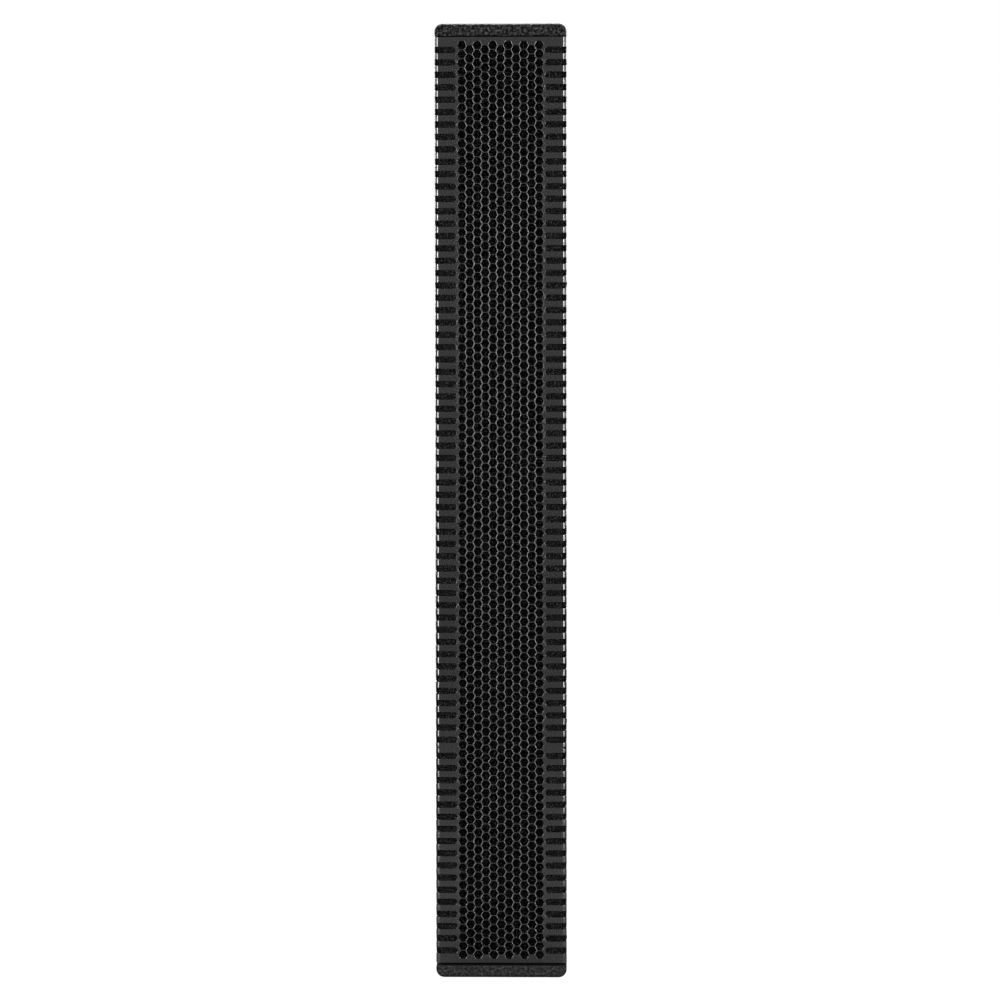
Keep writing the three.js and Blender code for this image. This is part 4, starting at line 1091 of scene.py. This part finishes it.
def build_woofer_cone(name, z, body):
    flare = [(13.4 + 19.6 * t, -52 - 14 * t**0.8) for t in (i / 6 for i in range(7))]
    paper = lathe_at([*flare, *((r, y + 0.9) for r, y in reversed(flare))], 0, z, 64)
    former = lathe_at([(13.3, -52.2), (13.4, -27), (12.6, -27), (12.6, -52.2)], 0, z)
    piece(f"{name}_paper_cone", combine(paper, former), PAPER, f"{name}_cone", body)
    roll = half_roll(32.6, 40.0, -66.0, 3.0)
    roll += [(r, y + 0.8) for r, y in reversed(half_roll(33.2, 40.0, -66.0, 2.6))]
    piece(f"{name}_surround", lathe_at(roll, 0, z, 72), SURROUND, body=body)
    dome = [(0, -57.4), (4, -57.2), (8, -56.2), (11, -54.6), (13.6, -52.6), (13.2, -52.0),
            (10.6, -53.8), (7.6, -55.3), (3.8, -56.2), (0, -56.4)]
    piece(f"{name}_dust_cap", lathe_at(dome, 0, z), PAPER, body=body)


def build_woofers():
    for i, z in enumerate(WOOFER_Z):
        name = f"woofer_{i + 1}"
        build_woofer_frame(name, z)
        build_woofer_motor(name, z)
        build_woofer_cone(name, z, f"cone_{i + 1}")


def build_high_frequency():
    shell = [(0, 7), (23.5, 7), (23.5, -6), (12.7, -6), (12.7, -14.7), (31.5, -14.7),
             (32, -14.2), (32, 16), (31, 17.6), (29, 18.4), (25, 21.4), (22.5, 22), (0, 22)]
    dome = [(0, -3.4), (5, -3.1), (10, -2.1), (15, -0.2), (18.6, 2.0), (19.6, 1.5),
            (20.6, 2.2), (22, 2.2)]
    dome += [(r, y + 0.5) for r, y in reversed(dome)]
    for place, z in HF_Z.items():
        driver, diaphragm = f"hf_driver_{place}", f"hf_diaphragm_{place}"
        piece(f"{driver}_shell", lathe_at(shell, 0, z, 72), FERRITE, driver)
        piece(f"{diaphragm}_dome", lathe_at(dome, 0, z, 64), TITANIUM, diaphragm,
              f"diaphragm_{place}")


# ---- Amplifier module ----

FLOOR_Y = 72 + SHIFT_Y
FACE_Y = 85.3 + SHIFT_Y
SEAT_Y = 72.3 + SHIFT_Y
MAINS_Z, INPUT_Z, CONTROL_Z = 125, 175, 220
COLUMN_X = 31


def rear_heads(places, radius, y, height, socket=0.42):
    """Screw heads on a rear face, as one solid."""
    return combine(*(pan_head(x, z, radius, facing_rear(y), height, socket) for x, z in places))


def build_tray():
    low, high = box_mm("amp_panel")
    x, half, rim = TRAY["x"], TRAY_HALF, high.y
    outer_x, outer_z = high.x, (high.z - low.z) / 2
    rings = frame_rings(TRAY_MIDDLE, [
        (outer_x, outer_z, 5, FACE_Y),
        (outer_x, outer_z, 5, rim - 0.5),
        (outer_x - 0.15, outer_z - 0.15, 4.85, rim - 0.15),
        (outer_x - 0.5, outer_z - 0.5, 4.5, rim),
        (x + 2.2, half + 2.2, 4.0, rim),
        (x + 1.1, half + 1.1, 2.9, rim - 0.3),
        (x + 0.3, half + 0.3, 2.2, rim - 1.1),
        (x, half, 1.9, rim - 2.2),
        (x, half, 1.9, FLOOR_Y + 1.4),
        (x - 0.4, half - 0.4, 1.5, FLOOR_Y + 0.4),
        (x - 1.4, half - 1.4, 1.0, FLOOR_Y),
        (x - 1.4, half - 1.4, 1.0, FLOOR_Y - 1.9),
        (x + 1.7, half + 1.7, 2.0, FLOOR_Y - 1.9),
        (x + 1.7, half + 1.7, 2.0, FACE_Y),
    ])
    # The flange's own middle may lie off the dish's middle.
    lift = (high.z + low.z) / 2 - TRAY_MIDDLE
    rings = [[(px, py, pz + lift * (abs(px) > x + 2.5 or abs(pz - TRAY_MIDDLE) > half + 2.5))
              for px, py, pz in ring] for ring in rings]
    holes = [circle(c, INPUT_Z, 12.1, 40) for c in (-COLUMN_X, 0, COLUMN_X)]
    for c in (-COLUMN_X, 0):
        holes.append(circle(c, CONTROL_Z, 3.3, 20))
        holes.append(rounded_rectangle(c, MAINS_Z, 13.8, 10.1, 1, 2))
    holes.append(circle(COLUMN_X, CONTROL_Z, 3.9, 20))
    holes.append(rounded_rectangle(COLUMN_X, MAINS_Z, 9.8, 13.1, 0.5, 2))
    outline = rounded_rectangle(0, TRAY_MIDDLE, x - 1.2, half - 1.2, 1.2, 3)
    floor = thicken(flat_plate(outline, holes), facing_rear(FLOOR_Y), 1.9, 0.15)
    piece("amp_tray", combine(closed_loft(rings), floor), SPRAYED_STEEL, "amp_panel")
    places = [(side * 53.2, z) for side in SIDES for z in (106, 180, 255, 330, 404)]
    places += [(u, z) for u in (-25, 25) for z in (94.0, 416.2)]
    piece("amp_tray_screws", rear_heads(places, 3.0, rim + 1.5, 1.6), BLACK_ZINC)


def build_heatsink():
    low, high = box_mm("amp_heatsink")
    fins, thick, fillet = 13, 2.0, 0.8
    base_y = low.y + 4
    pitch = (2 * high.x - thick) / (fins - 1)
    outline = [(-high.x, low.y), (high.x, low.y)]
    for i in range(fins - 1, -1, -1):
        left = -high.x + i * pitch
        outline += arc(left + thick / 2, high.y - thick / 2, thick / 2, 0, 180, 6)
        if i:
            inner = left - pitch + thick
            outline += [(left, base_y + fillet), (left - fillet, base_y),
                        (inner + fillet, base_y), (inner, base_y + fillet)]
    solid = prism(outline, "Z", low.z, high.z, 0.25, steps=2)
    piece("amp_heatsink_fins", solid, ANODISED, "amp_heatsink")
    places = [(side * (pitch * 2.5), z) for side in SIDES for z in (low.z + 10, high.z - 10)]
    piece("amp_heatsink_screws", rear_heads(places, 2.2, base_y + 1.6, 1.6), BLACK_ZINC)


def build_latch(body, x):
    low, high = box_mm(f"input_{body}")
    ridges = [
        bar((x - 2.8, high.y - 0.4, INPUT_Z + 12.0 + dz),
            (x + 2.8, high.y + 0.25, INPUT_Z + 12.4 + dz), 0.12)
        for dz in (0.0, 0.9, 1.8)
    ]
    piece(f"input_{body}_tab", combine(bar(low, high, 0.7), *ridges), ZINC, f"input_{body}",
          body, "titanium_dome")


def build_socket(node, x, male):
    """Three-pole signal socket: pins in a deep cup, or holes in a core."""
    z, seat = INPUT_Z, 72.3
    outer = rounded_rectangle(x, z, 13, 15.5, 3, 5)
    flange = thicken(flat_plate(outer, [circle(x, z, 9.6, 40)]), facing_rear(SEAT_Y + 2), 2, 0.5)
    barrel = lathe_at([(9.3, 56), (9.3, seat + 2.2), (9.7, seat + 2.7), (10.9, seat + 2.7),
                       (11.3, seat + 2.2), (11.8, seat + 1), (11.8, 52), (0, 52), (0, 56)], x, z)
    parts = [flange, barrel]
    spots = [(3.6 * math.cos(t), 3.6 * math.sin(t)) for t in map(math.radians, (30, 150, 270))]
    if male:
        contact, count = [(0, 55), (1.25, 55), (1.25, 68), (0.6, 69.2), (0, 69.4)], 20
    else:
        contact, count = [(1.1, 60), (1.1, 70.6), (1.6, 70.6), (1.6, 60)], 18
        holes = [circle(x + du, z + dv, 1.7, 18) for du, dv in spots]
        core = flat_plate(circle(x, z, 6.6, 40), holes)
        parts.append(thicken(core, facing_rear(SEAT_Y + 0.6), 8, 0.5))
    contacts = [lathe_at(contact, x + du, z + dv, count) for du, dv in spots]
    name = f"{node}_body"
    piece(name, combine(*parts), SOCKET_PLASTIC, node)
    piece(f"{name}_contacts", combine(*contacts), GOLD)
    places = [(x + side * 9.7, z + side * 12.2) for side in SIDES]
    piece(f"{name}_screws", rear_heads(places, 1.9, SEAT_Y + 2.9, 1.0), BLACK_ZINC)


def mains_opening(x, half_x, half_z, cut):
    """A rectangle with its two upper corners cut, the usual appliance-coupler shape."""
    z = MAINS_Z
    return [(x - half_x, z - half_z), (x + half_x, z - half_z), (x + half_x, z + half_z - cut),
            (x + half_x - cut, z + half_z), (x - half_x + cut, z + half_z),
            (x - half_x, z + half_z - cut)]


def build_mains():
    contacts = ((-7, -1.5), (7, -1.5), (0, 2.5))
    face = SEAT_Y + 3
    for name, x in (("mains_inlet", -COLUMN_X), ("mains_outlet", 0)):
        opening = mains_opening(x, 12, 8, 4)
        flange = flat_plate(rounded_rectangle(x, MAINS_Z, 15, 14, 2, 4), [opening])
        wall = flat_plate(rounded_rectangle(x, MAINS_Z, 13.5, 9.8, 1, 3), [opening])
        back = flat_plate(rounded_rectangle(x, MAINS_Z, 13.4, 9.7, 1, 3))
        parts = [thicken(flange, facing_rear(face), 3, 0.7),
                 thicken(wall, facing_rear(SEAT_Y + 0.5), 20, 0.05),
                 thicken(back, facing_rear(SEAT_Y - 13.5), 6.5, 0.05)]
        if name == "mains_outlet":
            slits = [rounded_rectangle(x + dx, MAINS_Z + dz, 1.25, 2.6, 0.3, 1)
                     for dx, dz in contacts]
            core = flat_plate(mains_opening(x, 10.4, 6.4, 3.4), slits)
            parts.append(thicken(core, facing_rear(face - 1.2), 14, 0.4))
        piece(f"{name}_shell", combine(*parts), SOCKET_PLASTIC, name)
        if name == "mains_inlet":
            blades = [bar((x + dx - 1, SEAT_Y - 14, MAINS_Z + dz - 2),
                          (x + dx + 1, SEAT_Y - 1, MAINS_Z + dz + 2), 0.35)
                      for dx, dz in contacts]
            piece("mains_inlet_blades", combine(*blades), ZINC)


def build_switch():
    x, z = COLUMN_X, MAINS_Z
    window = rounded_rectangle(x, z, 8.3, 11.8, 0.6, 2)
    bezel = flat_plate(rounded_rectangle(x, z, 12.5, 15.5, 2, 4), [window])
    well = flat_plate(rounded_rectangle(x, z, 9.5, 12.8, 0.5, 2), [window])
    back = flat_plate(rounded_rectangle(x, z, 9.4, 12.7, 0.5, 2))
    housing = combine(thicken(bezel, facing_rear(SEAT_Y + 2), 2, 0.7),
                      thicken(well, facing_rear(SEAT_Y + 0.5), 13, 0.05),
                      thicken(back, facing_rear(62 + SHIFT_Y), 4, 0.05))
    piece("power_switch_frame", housing, SOCKET_PLASTIC, "power_switch_housing")


ROCKER_REACH = 10.5
ROCKER_TILT = math.radians(10)


def tilted(y, v):
    """Tilts a place about the rocker's pivot, given as (towards the rear, up) from it."""
    return (72.6 + SHIFT_Y + y * math.cos(ROCKER_TILT) - v * math.sin(ROCKER_TILT),
            MAINS_Z + y * math.sin(ROCKER_TILT) + v * math.cos(ROCKER_TILT))


def on_rocker(v, lift):
    """A place on the rocker's hollow face, or lifted off it."""
    return tilted(3.1 + 1.45 * (v / ROCKER_REACH) ** 2 + lift, v)


def build_rocker():
    x, reach, hub = COLUMN_X, ROCKER_REACH, 5.0
    upper = [(4.6 - 1.6 * math.cos(math.pi / 2 * t), reach * t) for t in (0.25, 0.5, 0.75)]
    outline = [(0.6, -reach), (4.2, -reach), (4.6, -reach + 0.5)]
    outline += [(y, -v) for y, v in reversed(upper)] + [(3.0, 0.0)] + upper
    outline += [(4.6, reach - 0.5), (4.2, reach), (0.6, reach)]
    outline += [(-hub * math.sin(t), hub * math.cos(t))
                for t in (math.pi * i / 12 for i in range(13))]
    key = prism([tilted(y, v) for y, v in outline], "X", x - 8, x + 8, 0.5, steps=2)
    piece("power_rocker_key", key, SOCKET_PLASTIC, "power_rocker", "rocker")
    corners = [on_rocker(v, lift) for v, lift in ((4.2, -0.2), (8.0, -0.2), (8.0, 0.12),
                                                  (4.2, 0.12))]
    line = loft([[(s, *corner) for corner in corners] for s in (x - 0.4, x + 0.4)])
    section = ((2.2, -0.3), (2.2, 0.12), (1.5, 0.12), (1.5, -0.3))
    ring = closed_loft([
        [(x + r * math.cos(t), *on_rocker(-6.2 + r * math.sin(t), lift)) for r, lift in section]
        for t in around(20)
    ])
    piece("power_rocker_marks", combine(line, ring), WHITE_PRINT, body="rocker")


def fluted(profile, x, z, lobes, depth, count):
    """A turned solid with flutes; the profile is (radius, depth in the cabinet, share)."""
    rings = []
    for radius, y, share in profile:
        ring = []
        for t in around(count):
            r = radius - depth * share * (0.5 + 0.5 * math.cos(lobes * t))
            ring.append((x + r * math.cos(t), y + SHIFT_Y, z + r * math.sin(t)))
        rings.append(ring)
    return loft(rings)


def printed(outlines):
    """Thin ink on the floor of the tray."""
    return combine(*(thicken(flat_plate(outline), facing_rear(FLOOR_Y + 0.07), 0.12, 0.02, steps=1)
                     for outline in outlines))


def build_level_control(number, x):
    z, body = CONTROL_Z, f"level_{number}"
    grip = [(8.5, 72.9, 0), (8.5, 74.2, 0), (8.2, 74.7, 0), (7.4, 75.2, 0.3), (7.2, 76, 1),
            (6.9, 80, 1), (6.6, 82.2, 1), (6.2, 82.8, 0.6), (5.6, 83.0, 0), (3.5, 82.7, 0),
            (0.4, 82.6, 0)]
    knob = f"level_knob_{number}"
    shaft = lathe_at([(0, 61), (3, 61), (3, 73.2), (0, 73.2)], x, z, 24)
    piece(f"{knob}_cap", combine(fluted(grip, x, z, 18, 0.55, 144), shaft), SOCKET_PLASTIC, knob,
          body)
    line = bar((x - 0.55, 81.6 + SHIFT_Y, z + 1.6), (x + 0.55, 83.35 + SHIFT_Y, z + 6.1), 0.25)
    skirt = bar((x - 0.5, 73.0 + SHIFT_Y, z + 6.6), (x + 0.5, 74.9 + SHIFT_Y, z + 8.6), 0.2)
    piece(f"{knob}_line", combine(line, skirt), WHITE_PRINT, body=body)
    ticks = []
    for k in range(11):
        angle = math.radians(90 + 140 - 28 * k)
        outer = 12.4 if k % 5 == 0 else 11.95
        ticks.append([(x + r * math.cos(angle) - w * math.sin(angle),
                       z + r * math.sin(angle) + w * math.cos(angle))
                      for r, w in ((outer, -0.28), (outer, 0.28), (10.4, 0.28), (10.4, -0.28))])
    piece(f"{body}_scale", printed(ticks), WHITE_PRINT, slot="panel_paint")


def build_controls():
    z = CONTROL_Z
    build_level_control(1, -COLUMN_X)
    build_level_control(2, 0)
    button = [(0, 62), (3.6, 62), (3.6, 76.2), (3.3, 76.9), (2.7, 77.2), (1.2, 77.0), (0, 76.9)]
    piece("mode_button_cap", lathe_at(button, COLUMN_X, z, 36), GREY_PLASTIC, "mode_button",
          "mode_key")
    collar = [(3.95, 71.9), (3.95, 73.0), (4.3, 73.3), (5.2, 73.3), (5.6, 72.9), (5.6, 71.9)]
    piece("mode_button_collar", lathe_at(collar, COLUMN_X, z, 36), BLACK_ZINC)
    lens = [(0, 71.0), (1.5, 71.0), (1.5, 72.6), (1.1, 73.2), (0.5, 73.5), (0, 73.55)]
    for k, (name, material) in enumerate(LAMPS.items()):
        piece(f"{name}_lamp", lathe_at(lens, 18.5 + 8.5 * k, z + 16, 24), material)
    lines = [rounded_rectangle(0, height, 44, 0.25, 0.2, 1)
             for height in (INPUT_Z + 21.75, MAINS_Z + 23.75)]
    piece("panel_divider_lines", printed(lines), GREY_PRINT)


# ---- Handle, rigging, pole mount, screws, damping and wiring ----

def build_handle():
    low, high = box_mm("handle_cup")
    z, x, half = CUP["z"], CUP["x"], CUP["half"]
    flange_x, flange_z = high.x, (high.z - low.z) / 2
    depth = 40.5 + SHIFT_Y
    rim = high.y
    rings = frame_rings(z, [
        (x - 7, half - 7, 3, depth),
        (x - 4.2, half - 4.2, 5, depth + 0.5),
        (x - 2.0, half - 2.0, 6.6, depth + 2.0),
        (x - 1.2, half - 1.2, 7.4, depth + 5),
        (x, half, 8, rim - 3.5),
        (x + 0.5, half + 0.5, 8.5, rim - 1.6),
        (x + 1.5, half + 1.5, 9.3, rim - 0.5),
        (x + 3.0, half + 3.0, 10.5, rim),
        (flange_x - 1.2, flange_z - 1.2, 11.2, rim),
        (flange_x - 0.3, flange_z - 0.3, 11.8, rim - 0.4),
        (flange_x, flange_z, 12, rim - 1.1),
        (flange_x, flange_z, 12, FACE_Y),
        (x + 2.5, half + 2.5, 10, FACE_Y),
        (x + 2.5, half + 2.5, 10, depth - 2.5),
    ], steps=8)
    piece("handle_cup_shell", loft(rings), MOULDED, "handle_cup")
    places = [(sx * 46.6, z + sz * 61.0) for sx in SIDES for sz in SIDES]
    places += [(sx * 47.4, z) for sx in SIDES]
    piece("handle_screws", rear_heads(places, 3.0, rim + 1.2, 1.5), BLACK_ZINC)

    low, high = box_mm("handle_grip")
    centre_y, half_y = (low.y + high.y) / 2, (high.y - low.y) / 2
    ribbed, rib_pitch, count = 0.72, 4.4, 220
    rings = []
    for i in range(count + 1):
        v = low.z + (high.z - low.z) * i / count
        reach = abs(v - z) / (high.z - z)
        shrink = 0.35 if reach <= 0.74 else 0.0
        if reach < ribbed:
            shrink += 0.45 * (0.5 + 0.5 * math.cos(TAU * (v - z) / rib_pitch))
        outline = rounded_rectangle(0, centre_y, high.x - shrink, half_y - shrink, 8.2 - shrink, 7)
        rings.append([(px, py, v) for px, py in outline])
    piece("handle_grip_bar", loft(rings), RUBBER, "handle_grip")


def build_rigging():
    thread = [(4.25, REAR_Y + 0.9)]
    y = REAR_Y + 0.6
    while y > REAR_Y - 11:
        thread += [(3.5, y), (4.0, y - 0.62)]
        y -= 1.25
    thread += [(4.0, REAR_Y - 11.6), (5.1, REAR_Y - 11.6), (5.1, REAR_Y - 0.2), (4.9, REAR_Y + 0.2)]
    plug = [(0, REAR_Y - 11.9), (5.1, REAR_Y - 11.9), (5.1, REAR_Y - 11.6), (0, REAR_Y - 11.6)]
    for name, z in zip(("lower", "upper"), RIGGING_Z):
        low, high = box_mm(f"{name}_rigging_plate")
        outline = rounded_rectangle(0, z, high.x, (high.z - low.z) / 2, 5, 6)
        holes = [circle(side * RIGGING_HOLE_X, z, 4.3, 36) for side in SIDES]
        plate = thicken(flat_plate(outline, holes), facing_rear(high.y), high.y - low.y, 0.7)
        piece(f"{name}_rigging_bracket", plate, SPRAYED_STEEL, f"{name}_rigging_plate")
        places = [(sx * 13, z + sz * 10.5) for sx in SIDES for sz in SIDES]
        heads = rear_heads(places, 3.6, high.y + 0.7, 1.2, 0.4)
        piece(f"{name}_rigging_screws", heads, BLACK_ZINC)
        inserts = []
        for centre in ((side * RIGGING_HOLE_X, z) for side in SIDES):
            inserts += [lathe(thread, centre, "Y", 36), lathe(plug, centre, "Y", 24)]
        piece(f"{name}_rigging_inserts", combine(*inserts), ZINC)


def build_mounts():
    thread = [(5.4, 999.55), (8.6, 999.55), (9.0, 999.2), (9.0, 986.7), (14, 986.7), (14, 984.2),
              (5.0, 984.2)]
    z = 985.0
    while z < 998.6:
        thread += [(4.9, z), (4.35, z + 0.7)]
        z += 1.4
    piece("top_threaded_insert", lathe(thread, (0, SHIFT_Y), "Z"), BLACK_ZINC, "top_insert")
    cup = [(0, 73), (17.6, 73), (18, 72.6), (18, 2.6), (18.6, 1.3), (19.8, 0.8), (30.4, 0.8),
           (31, 1.3), (31, 3.5), (20, 3.5), (20, 76), (0, 76)]
    piece("pole_socket_cup", lathe(cup, POLE_CENTRE, "Z", 72), SPRAYED_STEEL, "pole_socket")
    heads = [pan_head(25.5 * math.cos(t), POLE_CENTRE[1] + 25.5 * math.sin(t), 2.6,
                      facing(2, -1, 0.15), 1.2) for t in around(4, 0.5)]
    piece("pole_socket_screws", combine(*heads), BLACK_ZINC)


def build_grille_screws():
    x = SHEET_HIGH.x + SHEET_PROUD + 0.4
    heads = [pan_head(SHEET_HIGH.y - 4.6, z, 2.3, facing(0, side, side * x), 1.3, 0.4)
             for side in SIDES for z in (40, 270, 500, 730, 960)]
    piece("grille_screws", combine(*heads), BLACK_ZINC)


def build_wadding():
    low, high = box_mm("damping_pad")
    outline = rounded_rectangle(0, (low.y + high.y) / 2, high.x, (high.y - low.y) / 2, 5, 3)
    dense = []
    for (x0, y0), (x1, y1) in zip(outline, outline[1:] + outline[:1]):
        steps = max(1, round(math.hypot(x1 - x0, y1 - y0) / 5))
        dense += [(x0 + (x1 - x0) * k / steps, y0 + (y1 - y0) * k / steps) for k in range(steps)]

    def depth_at(place):
        tufts = place * 0.09
        return skin_depth(2.6, tufts, tufts * 2.5)

    pad = padded(dense, np.linspace(low.z, high.z, 62), depth_at)
    piece("damping_wadding", pad, WADDING, "damping_pad")


def build_wiring():
    points = []
    for z, following in zip(WOOFER_Z, WOOFER_Z[1:]):
        points += [(41, -24 + SHIFT_Y, z), (45, -4 + SHIFT_Y, (z + following) / 2)]
    points.append((41, -24 + SHIFT_Y, WOOFER_Z[-1]))
    piece("woofer_loom", tube(points, 2.2), JACKET, "woofer_cable")
    path = [(-20, 32, 409), (-20, 32, 420), (-40, 12, 436), (-40, 4, 500), (-38, 8, 560)]
    lead = tube([(x, y + SHIFT_Y, z) for x, y, z in path], 2.0)
    piece("hf_lead", lead, JACKET, "hf_cable")


# CAD nodes that stay in view: their material and the width of their eased edges.
DRESSED = {
    "front_baffle": (BLACK_STAIN, 0.4),
    "lower_brace": (BIRCH, 0.4),
    "upper_brace": (BIRCH, 0.4),
    "hf_waveguide": (MOULDED, 0.5),
    "amp_chassis": (ZINC, 0.2),
    "amp_board": (SOLDER_MASK, 0.15),
    "input_board": (SOLDER_MASK, 0.15),
}


def dress_cad_nodes():
    for node, (material, bevel) in DRESSED.items():
        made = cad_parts[node]
        made.data.materials.clear()
        made.data.materials.append(material)
        eased = made.modifiers.new("eased_edges", "BEVEL")
        eased.width = bevel * MM
        eased.segments = 2
        eased.limit_method = "ANGLE"


build_grille()
build_foam()
build_boards()
build_woofers()
build_high_frequency()
build_tray()
build_heatsink()
for index, socket_x in ((1, -COLUMN_X), (2, 0)):
    build_socket(f"input_socket_{index}", socket_x, male=False)
    build_latch(f"latch_{index}", socket_x)
build_socket("link_socket", COLUMN_X, male=True)
build_mains()
build_switch()
build_rocker()
build_controls()
build_handle()
build_rigging()
build_mounts()
build_grille_screws()
build_wadding()
build_wiring()
dress_cad_nodes()


# ---- Floor, lights and camera, in metres ----

FLOOR_REACH = 30
FLOOR_ALBEDO = 0.09
WORLD_DIM = 0.125
STRIP_DISTANCE, STRIP_ANGLE, STRIP_Z = 1.8, math.radians(37), 0.70
STRIP_POWER = {"left_strip": 15.5, "right_strip": 17.0}
CAMERA_DISTANCE, CAMERA_LENS = 3.5, 120.40
CAMERA_ELEVATION, CAMERA_AZIMUTH = math.radians(2.7), math.radians(1.1)
CAMERA_ROLL = math.radians(-0.065)
AIM_SHIFT_X, AIM_SHIFT_Z = -0.00094, 0.0038
WHITE = (1, 1, 1, 1)


def build_floor():
    """A dim grey floor that reads white to the camera."""
    mesh = bpy.data.meshes.new("floor")
    corners = [(x * FLOOR_REACH, y * FLOOR_REACH, 0) for x, y in ((-1, -1), (1, -1), (1, 1), (-1, 1))]
    mesh.from_pydata(corners, [], [(0, 1, 2, 3)])
    floor = show("floor", mesh)
    floor.location.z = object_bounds()[0][2] - 0.0005
    s = Surface("floor_paint", roughness=0.9, specular=0.1)
    s.colour((*grey(FLOOR_ALBEDO), 1))
    s.put("Emission Color", WHITE)
    s.put("Emission Strength", s.node("ShaderNodeLightPath").outputs["Is Camera Ray"])
    mesh.materials.append(s.material)
    floor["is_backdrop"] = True


def build_world():
    """White behind the object for the camera, a dim grey surround for everything else."""
    world = bpy.data.worlds.new("studio")
    bpy.context.scene.world = world
    world.use_nodes = True
    tree = world.node_tree
    background = tree.nodes["Background"]
    seen = tree.nodes.new("ShaderNodeLightPath").outputs["Is Camera Ray"]
    strength = tree.nodes.new("ShaderNodeMapRange")
    tree.links.new(seen, strength.inputs["Value"])
    strength.inputs["To Min"].default_value = WORLD_DIM
    strength.inputs["To Max"].default_value = 1.0
    tree.links.new(strength.outputs["Result"], background.inputs["Strength"])
    background.inputs["Color"].default_value = WHITE


def area_light(name, place, target, width, height, power):
    light = bpy.data.lights.new(name, "AREA")
    light.shape = "RECTANGLE"
    light.size = width
    light.size_y = height
    light.energy = power
    made = show(name, light)
    made.location = place
    made.rotation_euler = (Vector(target) - Vector(place)).to_track_quat("-Z", "Y").to_euler()


def build_lights():
    for side, (name, power) in zip(SIDES, STRIP_POWER.items()):
        place = (side * STRIP_DISTANCE * math.sin(STRIP_ANGLE),
                 -STRIP_DISTANCE * math.cos(STRIP_ANGLE), STRIP_Z)
        area_light(name, place, (0, 0, STRIP_Z), 0.3, 1.3, power)
    area_light("overhead", (0, 1.0, 2.6), (0, 0, 1.0), 1.6, 1.0, 160)
    for side in SIDES:
        area_light(f"rear_fill_{side + 1}", (side * 2.5, 1.7, 1.1), (0, 0, 0.5), 0.8, 1.6, 45)


def build_camera():
    low, high = (Vector(corner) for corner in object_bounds())
    centre = (low + high) / 2
    camera = bpy.data.cameras.new("camera")
    camera.sensor_width = 36
    camera.lens = CAMERA_LENS
    made = show("camera", camera)
    level = math.cos(CAMERA_ELEVATION)
    offset = Vector((level * math.sin(CAMERA_AZIMUTH), -level * math.cos(CAMERA_AZIMUTH),
                     math.sin(CAMERA_ELEVATION))) * CAMERA_DISTANCE
    made.location = Vector((centre.x, low.y, centre.z)) + offset
    aim = Vector((centre.x + AIM_SHIFT_X, low.y, centre.z + AIM_SHIFT_Z))
    turn = (aim - made.location).to_track_quat("-Z", "Y").to_matrix()
    made.rotation_euler = (turn @ Matrix.Rotation(CAMERA_ROLL, 3, "Z")).to_euler()
    bpy.context.scene.camera = made


build_floor()
build_world()
build_lights()
build_camera()
bpy.context.scene.view_settings.view_transform = "Standard"
